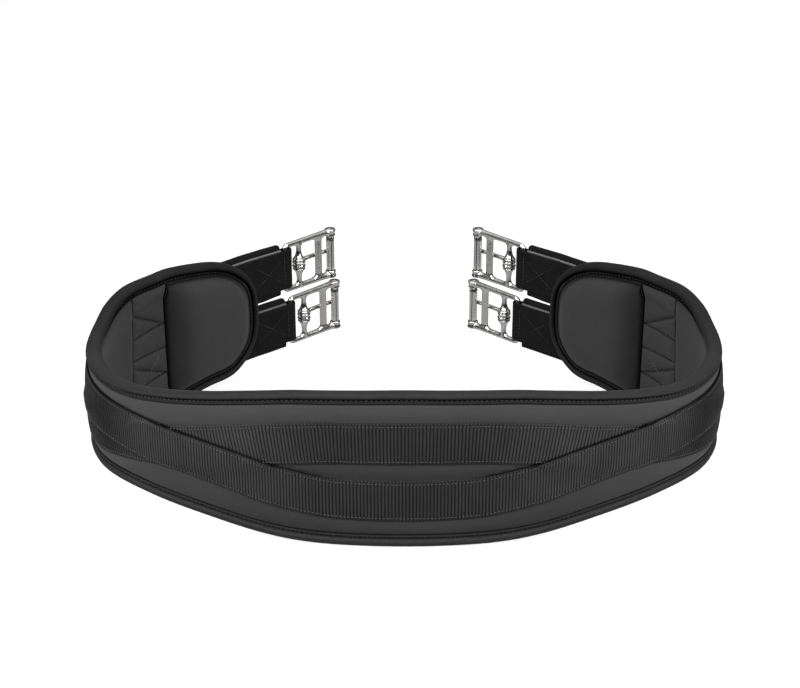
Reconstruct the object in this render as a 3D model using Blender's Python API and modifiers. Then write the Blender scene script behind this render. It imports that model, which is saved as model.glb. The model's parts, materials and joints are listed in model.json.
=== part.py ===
"""Saddle girth: a long padded girth bent into a C and standing on its edge,
with two elastic straps and two roller buckles at each end.

It stands on z = 0 and is bent symmetrically about the plane X = 0. The middle is at -Y
and the C opens towards +Y. A place on it is (arc, out, z): arc is the length along the
plan curve from the middle (positive to the right, +X), out is the distance outward from
the middle of the padding (away from the horse) and z is the height above the middle's
centre line. The straps are straight and leave the curve at FLEX_ARC.
"""

import math
import bpy
import bmesh
from mathutils import Matrix, Vector

MM = 0.001                # all sizes below are in mm

# ---------------------------------------------------------------- driving dimensions
# plan curve: a light bend at the middle, a tight bend at each side, then a straight wing
MIDDLE_CURVATURE = 0.00254           # 1/mm
BEND_START, BEND_FULL = 100.0, 239.0
BEND_OUT, BEND_END = 344.0, 370.0
WING_ANGLE = 134.6        # nominal turn from the middle to the wing, degrees
WING_END = 463.0          # arc of the wing's outer end
WING_DROP = 3.0           # the wing's end sits this much lower than the middle
CURVE_STEP = 0.5
CURVE_LENGTH = 600.0

ORIGIN_Y = 171.13         # the middle's padding lies this far towards -Y from the origin
LOWEST = 56.61            # the edge reaches this far below the middle's centre line

# sections along the body
STEP, FINE_STEP = 16.0, 12.0
FINE_START, FINE_END = 90.0, 380.0
ROUND_START, ROUND_POWER = 415.0, 2.8    # superellipse that rounds the wing's end

# layers
GAP = 0.3                 # between pieces that lie on each other
PLY_GAP = 0.25            # between the plies of the body, and under the binding
LINING_THICK, FOAM_THICK, COVER_THICK = 1.8, 3.0, 1.8
BINDING_THICK, BINDING_LEAF = 1.2, 9.0
EDGE_INSET = 3.8          # the face cloths stop this far inside the binding's fold
FOAM_INSET = BINDING_THICK + GAP + 0.6
WEB_THICK, WEB_WIDTH = 1.5, 30.0
ELASTIC_THICK, ELASTIC_WIDTH = 2.2, 44.0
CORE_THICK, CORE_WIDTH = 1.0, 34.6
LEATHER_THICK, LEATHER_WIDTH = 1.5, 33.0
FACE = (LINING_THICK + FOAM_THICK + COVER_THICK + 2 * PLY_GAP) / 2    # out of the cover's face

# webbing bands
WEB_END, WEB_STEP = 372.0, 12.0
WEB_LOW = FACE + GAP + WEB_THICK / 2                          # out, lying on the cover
WEB_HIGH = WEB_LOW + WEB_THICK + GAP                          # out, over the other band
WEB_ROOT = FACE + GAP + ELASTIC_THICK + GAP + WEB_THICK / 2   # out, over the elastic's root

# D-shaped pads and patches on the inside
PAD_START, PAD_END = 374.5, 449.0
PAD_ROUND = 34.0          # the pad's rounded end starts this far from its straight edge
PAD_MARGIN, PAD_HALF = 13.5, 43.5    # distance from the girth's edge, greatest half height
PAD_POWER, PAD_STEPS = 0.8, 6
PAD_RISE, PAD_THICK = 8.0, 1.6
PATCH_START, PATCH_END = 341.0, 373.0
PATCH_THICK, PATCH_MARGIN = 1.0, 11.0

# straps, placed by arc
STRAP_PITCH = 46.2        # between the centre lines of the two straps of one end
ELASTIC_START, ELASTIC_ROOT = 346.0, 374.0
FLEX_ARC = 375.8          # the line about which a free elastic swings away from the wing
FREE_START = 378.5
BAR_ARC = 499.6           # strap bar of the upper straps
LOWER_REACH = 4.0         # the lower straps reach this much further
BAR_CLEAR = 4.6           # elastic and core stop this far short of the bar's axis
STRAP_CORNER = 5.0        # corner radius of the elastic's far end
INNER_LEAF_START = 465.6  # the leather's inner leaf starts just past the wing's end
OUTER_LEAF_START = 461.0
CORE_SETBACK = 0.2        # the core starts this far past the inner leaf's start

# strap layers across, from the inside: leather, core, elastic, leather
FOLD_R = 2.3              # inside radius of the leather round the strap bar
ELASTIC_OUT = 6.5         # out of the middle of a free elastic
LAYER_GAP = (2 * FOLD_R - CORE_THICK - ELASTIC_THICK) / 3
INNER_FACE = ELASTIC_OUT - ELASTIC_THICK / 2 - LAYER_GAP - CORE_THICK - LAYER_GAP
BAR_OUT = INNER_FACE + FOLD_R
CORE_OUT = INNER_FACE + LAYER_GAP + CORE_THICK / 2

# buckle, in its own place: X along it, Y through it, Z across, origin on the strap bar
RAIL_R, BAR_R, RAIL_Z = 2.25, 1.95, 18.9
CORNER_R = 2.8
PIVOT_X, FLAT_X, ROLLER_X = 15.0, 36.4, 49.8
FLAT_WIDTH, FLAT_THICK, FLAT_ROUNDING = 6.5, 3.0, 0.8
PIVOT_R, AXLE_R = 2.0, 1.6
ROLLER_R, ROLLER_BORE = 3.25, 1.95
KNOB_R, KNOB_Z, KNOB_HALF = 4.4, 17.9, 3.4
EYE_R, EYE_BORE, EYE_HEIGHT = 5.3, 2.35, 6.0
FLARE_R, FLARE_TIP_R, FLARE_REACH = 4.7, 1.8, 6.5
PLAY = 0.4                # end gap beside the roller and the tongue's eye
TONGUE_R = 1.7

# ---------------------------------------------------------------- measured tables
# (arc, half the girth's height), before the wing's end is rounded
HALF_HEIGHTS = [
    (0, 55.5), (30, 55.1), (50, 54.75), (70, 53.95), (90, 51.95), (105, 49.7),
    (118, 47.5), (130, 45.45), (165, 40.45), (190, 37.8), (205, 37.3), (230, 37.5),
    (258, 36.9), (295, 42.9), (316, 49.1), (345, 54.8), (362, 55.4), (375, 55.9),
    (390, 54.3), (410, 51.6), (425, 49.8), (437, 47.7), (448, 44.8), (WING_END, 41.7)]
# (arc, height of the girth's centre line)
MIDDLE_HEIGHTS = [
    (0, 0), (30, -0.5), (60, -1.1), (90, -1.25), (118, -0.7), (140, -0.35),
    (165, -0.35), (200, -0.85), (225, -1.0), (258, -0.75), (295, -0.95), (345, -1.2),
    (362, -1.1), (380, -0.4), (395, -0.05), (410, -0.3), (425, -1.75), (437, -3.1),
    (448, -3.3), (WING_END, -WING_DROP)]
# (arc, height of a webbing band's centre line): the two bands cross at each side
OVER_BAND = [
    (0, -21.6), (40, -21.0), (85, -14.8), (115, -7.0), (145, -1.0), (175, 3.0),
    (205, 6.0), (240, 8.5), (290, 14.5), (340, 22.6), (WEB_END, 22.6)]
UNDER_BAND = [
    (0, 20.0), (40, 19.4), (85, 15.2), (130, 7.5), (166, 1.3), (186, -1.5),
    (208, -5.2), (235, -9.5), (262, -11.5), (290, -16.5), (340, -22.6), (WEB_END, -22.6)]
# (share of the pad's outline, share of its rise), from its base to its crown
PAD_RINGS = [(1.0, 0.0), (1.0, 0.45), (0.965, 0.80), (0.86, 1.0), (0.45, 1.04)]

SIDES = ((-1, "left"), (1, "right"))
# (name, centre line in strap pitches, extra reach)
LEVELS = (("upper", 0.5, 0.0), ("lower", -0.5, LOWER_REACH))


# ---------------------------------------------------------------- curves
def smooth(x, start, end):
    """Eased step from 0 at start to 1 at end."""
    x = min(1.0, max(0.0, (x - start) / (end - start)))
    return x * x * (3.0 - 2.0 * x)


def along(table, x):
    """Value at x of a smooth monotone curve through a table of (x, value), held at its ends."""
    x = min(max(x, table[0][0]), table[-1][0])
    spans = list(zip(table, table[1:]))
    slopes = [(b[1] - a[1]) / (b[0] - a[0]) for a, b in spans]
    tangents = [0.0]
    for a, b in zip(slopes, slopes[1:]):
        tangents.append(0.0 if a * b <= 0 else 2.0 * a * b / (a + b))
    tangents.append(0.0)
    for i, ((x0, y0), (x1, y1)) in enumerate(spans):
        if x <= x1:
            width = x1 - x0
            share = (x - x0) / width
            rest = 1 - share
            return ((1 + 2 * share) * rest ** 2 * y0
                    + share * rest ** 2 * width * tangents[i]
                    + share ** 2 * (3 - 2 * share) * y1
                    - share ** 2 * rest * width * tangents[i + 1])


def plan_curve():
    """(x, y, angle) rows of the right half, one each CURVE_STEP."""
    arcs = [i * CURVE_STEP for i in range(int(CURVE_LENGTH / CURVE_STEP) + 1)]
    rise = [smooth(arc, BEND_START, BEND_FULL) for arc in arcs]
    hump = [r * (1.0 - smooth(arc, BEND_OUT, BEND_END)) for r, arc in zip(rise, arcs)]
    base = [MIDDLE_CURVATURE * (1.0 - r) for r in rise]
    # the tight bend makes up whatever turn the light one leaves
    tight = (math.radians(WING_ANGLE) - sum(base) * CURVE_STEP) / (sum(hump) * CURVE_STEP)
    curvature = [b + tight * h for b, h in zip(base, hump)]
    x = y = angle = 0.0
    rows = [(x, y, angle)]
    for before, after in zip(curvature, curvature[1:]):
        turn = CURVE_STEP * 0.5 * (before + after)
        middle = angle + 0.5 * turn
        x += CURVE_STEP * math.cos(middle)
        y += CURVE_STEP * math.sin(middle)
        angle += turn
        rows.append((x, y, angle))
    return rows


CURVE = plan_curve()


def on_curve(arc):
    """(x, y, angle) of the right half at arc >= 0."""
    i = int(arc / CURVE_STEP)
    share = arc / CURVE_STEP - i
    return tuple(p + (q - p) * share for p, q in zip(CURVE[i], CURVE[i + 1]))


def place(arc, out, z):
    """World point, in metres, of the place (arc, out, z)."""
    x, y, angle = on_curve(abs(arc))
    x += out * math.sin(angle)
    y -= out * math.cos(angle)
    return Vector((math.copysign(x, arc), y - ORIGIN_Y, z + LOWEST)) * MM


def half_height(arc):
    return along(HALF_HEIGHTS, abs(arc))


def middle_height(arc):
    return along(MIDDLE_HEIGHTS, abs(arc))


def outline(inset, count):
    """(arc, half height) of the right half, with count stations on the rounded end."""
    stations = []
    arc = 0.0
    while arc < ROUND_START - STEP * 0.6:
        stations.append((arc, half_height(arc) - inset))
        arc += FINE_STEP if FINE_START <= arc <= FINE_END else STEP
    reach = WING_END - inset - ROUND_START
    power = 2 / ROUND_POWER
    for i in range(count):
        # stops just short of the tip, where the height would vanish
        angle = (0.999 * i / (count - 1)) * math.pi / 2
        arc = ROUND_START + reach * math.sin(angle) ** power
        stations.append((arc, (half_height(arc) - inset) * math.cos(angle) ** power))
    return stations


def mirrored(stations):
    """The full run of stations, from the left end to the right end."""
    left = [(-s[0], *s[1:]) for s in reversed(stations) if s[0] > 0]
    return left + stations


def four_arcs(start, end):
    return [start + (end - start) * i / 3 for i in range(4)]


# ---------------------------------------------------------------- scene and objects
for old in list(bpy.data.objects):
    bpy.data.objects.remove(old, do_unlink=True)
PARTS = bpy.data.collections.new("saddle_girth")
CUTTERS = bpy.data.collections.new("cutters")
bpy.context.scene.collection.children.link(PARTS)
bpy.context.scene.collection.children.link(CUTTERS)
CUTTERS.hide_render = True


def add_object(name, data, matrix, parent):
    """An object (an empty when data is None) with its origin at matrix."""
    obj = bpy.data.objects.new(name, data)
    PARTS.objects.link(obj)
    if parent is not None:
        obj.parent = parent
        obj.matrix_parent_inverse = parent.matrix_world.inverted()
    obj.matrix_world = matrix
    bpy.context.view_layer.update()
    return obj


def empty(name, matrix, parent=None):
    obj = add_object(name, None, matrix, parent)
    obj.empty_display_size = 0.01
    return obj


WORLD = Matrix.Identity(4)
ROOT = empty("girth_root", WORLD)


def shade(mesh):
    mesh.shade_smooth()
    mesh.set_sharp_from_angle(angle=math.radians(40))


def to_mesh(name, shape):
    """A mesh from a bmesh, which is freed."""
    mesh = bpy.data.meshes.new(name)
    shape.to_mesh(mesh)
    shape.free()
    return mesh


def new_object(name, shape, mat, matrix=WORLD, parent=ROOT):
    """An object from a bmesh whose points are relative to matrix."""
    mesh = to_mesh(name, shape)
    mesh.materials.append(mat)
    shade(mesh)
    return add_object(name, mesh, matrix, parent)


def thicken(obj, thickness):
    """Thickness to both sides of a surface."""
    shell = obj.modifiers.new("thickness", "SOLIDIFY")
    shell.thickness = thickness * MM
    shell.offset = 0.0
    shell.use_even_offset = True


def ribbon(name, pairs, thickness, mat, matrix=WORLD, parent=ROOT):
    """A thick ribbon through (low, high) pairs of points, one face across."""
    shape = bmesh.new()
    rows = [[shape.verts.new(point) for point in pair] for pair in pairs]
    for a, b in zip(rows, rows[1:]):
        shape.faces.new((a[0], a[1], b[1], b[0]))
    thicken(new_object(name, shape, mat, matrix, parent), thickness)


def sheet(name, stations, thickness, mat):
    """A ribbon on the girth through (arc, out, middle, half height) stations."""
    pairs = [(place(arc, out, middle - half), place(arc, out, middle + half))
             for arc, out, middle, half in stations]
    ribbon(name, pairs, thickness, mat)


def box(middle_x, length, thickness, width):
    """A bmesh box centred on the X axis: length along X, thickness Y, width Z."""
    shape = bmesh.new()
    size = Matrix.Diagonal((length * MM, thickness * MM, width * MM, 1.0))
    bmesh.ops.create_cube(
        shape, size=1.0, matrix=Matrix.Translation((middle_x * MM, 0, 0)) @ size)
    return shape


def round_edges(shape, edges, radius, segments):
    bmesh.ops.bevel(shape, geom=edges, offset=radius * MM, segments=segments,
                    profile=0.5, affect="EDGES")


# ---------------------------------------------------------------- materials
def material(name, colour, roughness, metallic=0.0):
    made = bpy.data.materials.new(name)
    made.use_nodes = True
    shader = made.node_tree.nodes["Principled BSDF"]
    shader.inputs["Base Color"].default_value = (*colour, 1.0)
    shader.inputs["Roughness"].default_value = roughness
    shader.inputs["Metallic"].default_value = metallic
    return made


NEOPRENE = material("outer_neoprene", colour=(0.056, 0.056, 0.060), roughness=0.72)
LINING = material("lining_neoprene", colour=(0.045, 0.045, 0.048), roughness=0.80)
FOAM = material("foam", colour=(0.10, 0.10, 0.11), roughness=0.95)
BINDING = material("binding_tape", colour=(0.022, 0.022, 0.024), roughness=0.65)
WEBBING = material("ribbed_webbing", colour=(0.032, 0.032, 0.035), roughness=0.60)
PAD = material("pad_neoprene", colour=(0.036, 0.036, 0.038), roughness=0.78)
ELASTIC = material("elastic", colour=(0.012, 0.012, 0.013), roughness=0.75)
CORE = material("core_webbing", colour=(0.26, 0.25, 0.25), roughness=0.85)
LEATHER = material("strap_leather", colour=(0.011, 0.010, 0.010), roughness=0.45)
STEEL = material("cast_steel", colour=(0.42, 0.41, 0.39), roughness=0.32, metallic=1.0)


# ---------------------------------------------------------------- the padded body
def body_layer(name, out, thickness, mat, inset):
    stations = [(arc, out, middle_height(arc), half) for arc, half in outline(inset, count=9)]
    sheet(name, mirrored(stations), thickness, mat)


def binding():
    """Tape folded over the edge all the way round: a C section swept along the outline."""
    stations = outline(inset=0.0, count=11)
    top = [(arc, middle_height(arc) + half) for arc, half in stations]
    bottom = [(arc, middle_height(arc) - half) for arc, half in reversed(stations)]
    # the first bottom point all but meets the last top one, so it is left out
    right = top + bottom[1:]
    left = [(-arc, z) for arc, z in right if arc > 0]
    loop = right + left[::-1]

    # (out, depth inward from the edge) at the middle of the tape
    leaf_out = FACE + PLY_GAP + BINDING_THICK / 2
    fold = BINDING_THICK / 2
    half_section = [(leaf_out, BINDING_LEAF), (leaf_out, 3.0), (leaf_out * 0.62, fold + 0.5)]
    section = [(-out, depth) for out, depth in half_section]
    section += [(0.0, fold)] + half_section[::-1]

    shape = bmesh.new()
    rows = []
    for i, (arc, z) in enumerate(loop):
        before = loop[i - 1]
        after = loop[(i + 1) % len(loop)]
        run = after[0] - before[0]
        climb = after[1] - before[1]
        size = math.hypot(run, climb)
        rows.append([
            shape.verts.new(place(arc + climb / size * depth, out, z - run / size * depth))
            for out, depth in section])
    for i, a in enumerate(rows):
        b = rows[(i + 1) % len(rows)]
        for j in range(len(section) - 1):
            shape.faces.new((a[j], a[j + 1], b[j + 1], b[j]))
    bmesh.ops.recalc_face_normals(shape, faces=shape.faces)
    thicken(new_object("edge_binding", shape, BINDING), BINDING_THICK)


body_layer("outer_cover", FACE - COVER_THICK / 2, COVER_THICK, NEOPRENE, EDGE_INSET)
body_layer("foam_core", 0.0, FOAM_THICK, FOAM, FOAM_INSET)
body_layer("inner_lining", LINING_THICK / 2 - FACE, LINING_THICK, LINING, EDGE_INSET)
binding()


# ---------------------------------------------------------------- the two webbing bands
def over_out(arc):
    """Rises over the other band before they cross, then settles on the elastic's root."""
    return (WEB_LOW + (WEB_HIGH - WEB_LOW) * smooth(arc, 44, 78)
            + (WEB_ROOT - WEB_HIGH) * smooth(arc, 306, 332))


def under_out(arc):
    """Lies on the cover, then rises onto the elastic's root."""
    return WEB_LOW + (WEB_ROOT - WEB_LOW) * smooth(arc, 300, 332)


def band(name, heights, out_at):
    arcs = [WEB_STEP * i for i in range(int(WEB_END / WEB_STEP) + 1)]
    stations = [(arc, out_at(arc), along(heights, arc), WEB_WIDTH / 2) for arc in arcs]
    sheet(name, mirrored(stations), WEB_THICK, WEBBING)


# named by their heights at the girth's middle
band("lower_webbing", OVER_BAND, over_out)
band("upper_webbing", UNDER_BAND, under_out)


# ---------------------------------------------------------------- pads and patches, inside
def pad_outline(inset):
    """The D-shaped outline of the pad: (arc, z) points, straight along its starting edge."""
    start = PAD_START + inset
    round_start = PAD_START + PAD_ROUND
    reach = PAD_END - inset - round_start

    def top(arc):
        return min(half_height(arc) - PAD_MARGIN, PAD_HALF) - inset

    upper = [(start, top(start) - 3.0),
             (start + 2.5, top(start)),
             (start + 14.0, top(start + 14.0) + 0.6)]
    for i in range(PAD_STEPS):
        angle = math.pi / 2 * i / PAD_STEPS
        arc = round_start + reach * math.sin(angle) ** PAD_POWER
        upper.append((arc, top(arc) * math.cos(angle) ** PAD_POWER))
    tip = (round_start + reach, 0.0)
    lower = [(arc, -z) for arc, z in reversed(upper)]
    edge = [(start, -top(start) * share) for share in (0.6, 0.2, -0.2, -0.6)]
    return upper + [tip] + lower + edge


def pad_dome(side, inset, closed):
    """A bmesh dome on the inner face, inset from the pad's outside; closed adds its base."""
    loop = pad_outline(inset)
    centre = sum(arc for arc, z in loop) / len(loop)
    base = -(FACE + GAP)
    shape = bmesh.new()
    rows = []
    for share, rise in PAD_RINGS:
        row = []
        for loop_arc, z in loop:
            arc = centre + (loop_arc - centre) * share
            out = base - (PAD_RISE - inset) * rise
            row.append(shape.verts.new(place(side * arc, out, z * share + middle_height(arc))))
        rows.append(row)
    count = len(loop)
    for a, b in zip(rows, rows[1:]):
        for i in range(count):
            j = (i + 1) % count
            shape.faces.new((a[i], a[j], b[j], b[i]))
    shape.faces.new(rows[-1])
    if closed:
        shape.faces.new(rows[0][::-1])
    bmesh.ops.recalc_face_normals(shape, faces=shape.faces)
    return shape


def pad_cover(side, word):
    shape = pad_dome(side, inset=PAD_THICK / 2, closed=False)
    # an open shell may come out inside out: its crown must face away from the padding
    crown = max(shape.faces, key=lambda face: face.calc_area())
    to_padding = place(side * PAD_START, 0.0, 0.0) - crown.calc_center_median()
    if crown.normal.dot(to_padding) > 0:
        bmesh.ops.reverse_faces(shape, faces=shape.faces)
    thicken(new_object(word + "_end_pad_cover", shape, PAD), PAD_THICK)


def pad_foam(side, word):
    shape = pad_dome(side, inset=PAD_THICK + GAP + 0.4, closed=True)
    new_object(word + "_end_pad_foam", shape, FOAM)


def patch(side, word):
    out = -(FACE + GAP + PATCH_THICK / 2)
    stations = [(side * arc, out, middle_height(arc), half_height(arc) - PATCH_MARGIN)
                for arc in four_arcs(PATCH_START, PATCH_END)]
    sheet(word + "_stitched_patch", stations, PATCH_THICK, LINING)


for side, word in SIDES:
    pad_cover(side, word)
    pad_foam(side, word)
    patch(side, word)


# ---------------------------------------------------------------- solids for the castings
def solid(shape):
    """A temporary object from a bmesh, for the Booleans."""
    bmesh.ops.recalc_face_normals(shape, faces=shape.faces)
    obj = bpy.data.objects.new("solid", to_mesh("solid", shape))
    CUTTERS.objects.link(obj)
    return obj


def evaluated_mesh(obj):
    bpy.context.view_layer.update()
    graph = bpy.context.evaluated_depsgraph_get()
    return bpy.data.meshes.new_from_object(obj.evaluated_get(graph))


def rod(points, radius):
    """A round rod through (x, y, z, radius share) points."""
    data = bpy.data.curves.new("rod", "CURVE")
    data.dimensions = "3D"
    data.bevel_depth = radius * MM
    data.bevel_resolution = 2
    data.use_fill_caps = True
    spline = data.splines.new("POLY")
    spline.points.add(len(points) - 1)
    for point, (x, y, z, share) in zip(spline.points, points):
        point.co = (x * MM, y * MM, z * MM, 1.0)
        point.radius = share
    curve = bpy.data.objects.new("rod", data)
    CUTTERS.objects.link(curve)
    mesh = evaluated_mesh(curve)
    shape = bmesh.new()
    shape.from_mesh(mesh)
    # the caps come separate from the tube
    bmesh.ops.remove_doubles(shape, verts=shape.verts, dist=0.00001)
    bpy.data.objects.remove(curve, do_unlink=True)
    bpy.data.meshes.remove(mesh)
    return solid(shape)


def cone(low_radius, high_radius, low, high, x=0.0, segments=16):
    """A cone along Z from low to high."""
    shape = bmesh.new()
    bmesh.ops.create_cone(
        shape, cap_ends=True, segments=segments, radius1=low_radius * MM,
        radius2=high_radius * MM, depth=(high - low) * MM,
        matrix=Matrix.Translation((x * MM, 0, 0.5 * (low + high) * MM)))
    return solid(shape)


def cylinder(radius, half, x=0.0, segments=16):
    """A cylinder along Z from -half to half."""
    return cone(radius, radius, -half, half, x, segments)


def combine(first, others, operation="UNION"):
    """Exact Booleans applied to first in turn; the others are used up."""
    for other in others:
        join = first.modifiers.new("join", "BOOLEAN")
        join.operation = operation
        join.solver = "EXACT"
        join.object = other
        mesh = evaluated_mesh(first)
        first.modifiers.clear()
        old_mesh = first.data
        first.data = mesh
        bpy.data.meshes.remove(old_mesh)
        bpy.data.objects.remove(other, do_unlink=True)
    return first


def casting(obj):
    """The finished steel mesh of a temporary object, which is removed."""
    mesh = obj.data
    bpy.data.objects.remove(obj, do_unlink=True)
    # a material slot that came with the Boolean result is kept
    if not mesh.materials:
        mesh.materials.append(STEEL)
    shade(mesh)
    return mesh


# ---------------------------------------------------------------- the buckle's castings
def frame_rod():
    """Strap bar and both side rails, as one bent rod."""
    bar_share = BAR_R / RAIL_R
    path = [(ROLLER_X, 0.0, RAIL_Z, 1.0), (CORNER_R + 4.0, 0.0, RAIL_Z, 1.0)]
    for i in range(5):
        angle = math.pi / 2 * i / 4
        path.append((CORNER_R - CORNER_R * math.sin(angle), 0.0,
                     RAIL_Z - CORNER_R + CORNER_R * math.cos(angle),
                     1.0 + (bar_share - 1.0) * i / 4))
    path.append((0.0, 0.0, 8.0, bar_share))
    return rod(path + [(x, y, -z, share) for x, y, z, share in reversed(path)], RAIL_R)


def flat_bar():
    """Flat cross bar between the rails, its long edges rounded."""
    shape = box(FLAT_X, FLAT_WIDTH, FLAT_THICK, 2 * RAIL_Z)
    edges = [e for e in shape.edges if abs((e.verts[0].co - e.verts[1].co).z) > 0.001]
    round_edges(shape, edges, FLAT_ROUNDING, segments=2)
    return solid(shape)


def knob(z):
    """Flattened ball where the roller's axle meets a rail."""
    shape = bmesh.new()
    centre = Matrix.Translation(Vector((ROLLER_X, 0, z)) * MM)
    size = Matrix.Diagonal((KNOB_R, KNOB_R, KNOB_HALF, 1.0))
    bmesh.ops.create_uvsphere(
        shape, u_segments=12, v_segments=8, radius=MM, matrix=centre @ size)
    return solid(shape)


def frame_mesh():
    near = EYE_HEIGHT / 2 + PLAY
    far = EYE_HEIGHT / 2 + FLARE_REACH
    return casting(combine(frame_rod(), [
        flat_bar(),
        cylinder(PIVOT_R, RAIL_Z, x=PIVOT_X),
        cylinder(AXLE_R, RAIL_Z, x=ROLLER_X),
        knob(KNOB_Z),
        knob(-KNOB_Z),
        # flares on the tongue's bar, one each side of the eye
        cone(FLARE_R, FLARE_TIP_R, near, far, x=PIVOT_X),
        cone(FLARE_TIP_R, FLARE_R, -far, -near, x=PIVOT_X),
    ]))


def roller_mesh():
    """Roller about its own axis, origin on the axis."""
    half = KNOB_Z - KNOB_HALF - PLAY
    roller = cylinder(ROLLER_R, half, segments=20)
    bore = cylinder(ROLLER_BORE, half + 2, segments=14)
    return casting(combine(roller, [bore], "DIFFERENCE"))


def tongue_mesh(y_out):
    """Tongue about its bar, lying on the outer side (y_out is +1 or -1 along Y)."""
    reach = ROLLER_X - PIVOT_X
    lift = ROLLER_R + TONGUE_R + GAP
    # (x, distance outward, radius share), from the eye to the tip past the roller
    path = [(2.6, 2.2, 1.15), (6.0, 4.0, 1.05), (14.0, lift + 0.3, 1.0),
            (reach - 6.0, lift + 0.25, 0.98), (reach + 1.0, lift, 0.92),
            (reach + 3.6, lift - 0.5, 0.75)]
    prong = rod([(x, y_out * y, 0.0, share) for x, y, share in path], TONGUE_R)
    eye = cylinder(EYE_R, EYE_HEIGHT / 2, segments=18)
    bore = cylinder(EYE_BORE, EYE_HEIGHT)
    return casting(combine(combine(eye, [prong]), [bore], "DIFFERENCE"))


FRAME_MESH = frame_mesh()
ROLLER_MESH = roller_mesh()
TONGUE_MESHES = {y_out: tongue_mesh(y_out) for y_out in (1, -1)}


# ---------------------------------------------------------------- straps
def strap_matrix(side, arc, out, z):
    """X along the strap towards the buckle, Z up. Y is outward on the left, inward on the right."""
    x, y, _ = on_curve(FLEX_ARC)
    angle = CURVE[-1][2]
    direction = Vector((side * math.cos(angle), math.sin(angle), 0.0))
    outward = Vector((side * math.sin(angle), -math.cos(angle), 0.0))
    start = Vector((side * x, y - ORIGIN_Y, z + LOWEST))
    point = (start + direction * (arc - FLEX_ARC) + outward * out) * MM
    up = Vector((0, 0, 1))
    turned = Matrix((direction, up.cross(direction), up)).transposed().to_4x4()
    return Matrix.Translation(point) @ turned


def slab(name, matrix, start, end, thickness, width, mat, parent, corner=0.0):
    """A flat strap piece from start to end along X, its far corners rounded."""
    shape = box(0.5 * (start + end), end - start, thickness, width)
    if corner:
        edges = [e for e in shape.edges
                 if abs((e.verts[0].co - e.verts[1].co).y) > 1e-5
                 and min(v.co.x for v in e.verts) > end * MM - 1e-6]
        round_edges(shape, edges, corner, segments=4)
    bmesh.ops.recalc_face_normals(shape, faces=shape.faces)
    new_object(name, shape, mat, matrix, parent)


def chape(name, matrix, y_out, bar_arc, parent):
    """Leather folded round the strap bar. The matrix's origin is on the bar's axis."""
    radius = FOLD_R + LEATHER_THICK / 2
    points = [(INNER_LEAF_START - bar_arc, -radius)]
    for i in range(9):
        angle = -math.pi / 2 + math.pi * i / 8
        points.append((radius * math.cos(angle), radius * math.sin(angle)))
    points.append((OUTER_LEAF_START - bar_arc, radius))
    pairs = [[Vector((x, y_out * y, z)) * MM for z in (-LEATHER_WIDTH / 2, LEATHER_WIDTH / 2)]
             for x, y in points]
    ribbon(name, pairs, LEATHER_THICK, LEATHER, matrix, parent)


def elastic_root(name, side, height):
    """The part of the elastic that lies on the cover, under the webbing."""
    stations = [(side * arc, FACE + GAP + ELASTIC_THICK / 2, height + middle_height(arc),
                 ELASTIC_WIDTH / 2) for arc in four_arcs(ELASTIC_START, ELASTIC_ROOT)]
    sheet(name, stations, ELASTIC_THICK, ELASTIC)


def strap(prefix, side, height, extra_reach):
    """One elastic with its leather and buckle; height is above the girth's centre line."""
    y_out = -side
    z = height - WING_DROP
    bar_arc = BAR_ARC + extra_reach
    elastic_root(prefix + "elastic_root", side, height)

    flex_matrix = strap_matrix(side, FLEX_ARC, ELASTIC_OUT, z)
    flex = empty(prefix + "flex", flex_matrix, ROOT)
    slab(prefix + "elastic", flex_matrix, FREE_START - FLEX_ARC, bar_arc - FLEX_ARC - BAR_CLEAR,
         ELASTIC_THICK, ELASTIC_WIDTH, ELASTIC, flex, corner=STRAP_CORNER)

    bar_matrix = strap_matrix(side, bar_arc, BAR_OUT, z)
    stretch = empty(prefix + "stretch", bar_matrix, flex)
    slab(prefix + "core_web", strap_matrix(side, bar_arc, CORE_OUT, z),
         INNER_LEAF_START + CORE_SETBACK - bar_arc, -BAR_CLEAR,
         CORE_THICK, CORE_WIDTH, CORE, stretch)
    chape(prefix + "chape", bar_matrix, y_out, bar_arc, stretch)

    buckle = add_object(prefix + "buckle_frame", FRAME_MESH, bar_matrix, stretch)
    add_object(prefix + "roller", ROLLER_MESH,
               strap_matrix(side, bar_arc + ROLLER_X, BAR_OUT, z), buckle)
    add_object(prefix + "tongue", TONGUE_MESHES[y_out],
               strap_matrix(side, bar_arc + PIVOT_X, BAR_OUT, z), buckle)


for side, word in SIDES:
    for level, pitches, extra_reach in LEVELS:
        strap(f"{word}_{level}_", side, pitches * STRAP_PITCH, extra_reach)
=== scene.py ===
"""A padded girth, bent in plan, with two wings that each carry two buckled elastic straps.

World: metres, +Z up. The middle of the girth faces -Y, and its wings curl round by way of +Y at
the left (-X) and the right (+X). Sizes in the code are millimetres.

The girth is shaped unrolled: x runs along it from its middle (negative to the left), y stands
outward from its middle surface and z is height. Each strap has its own x, y, z: along the strap
from its strap bar, outward, and up.
"""
import json
import math

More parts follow.
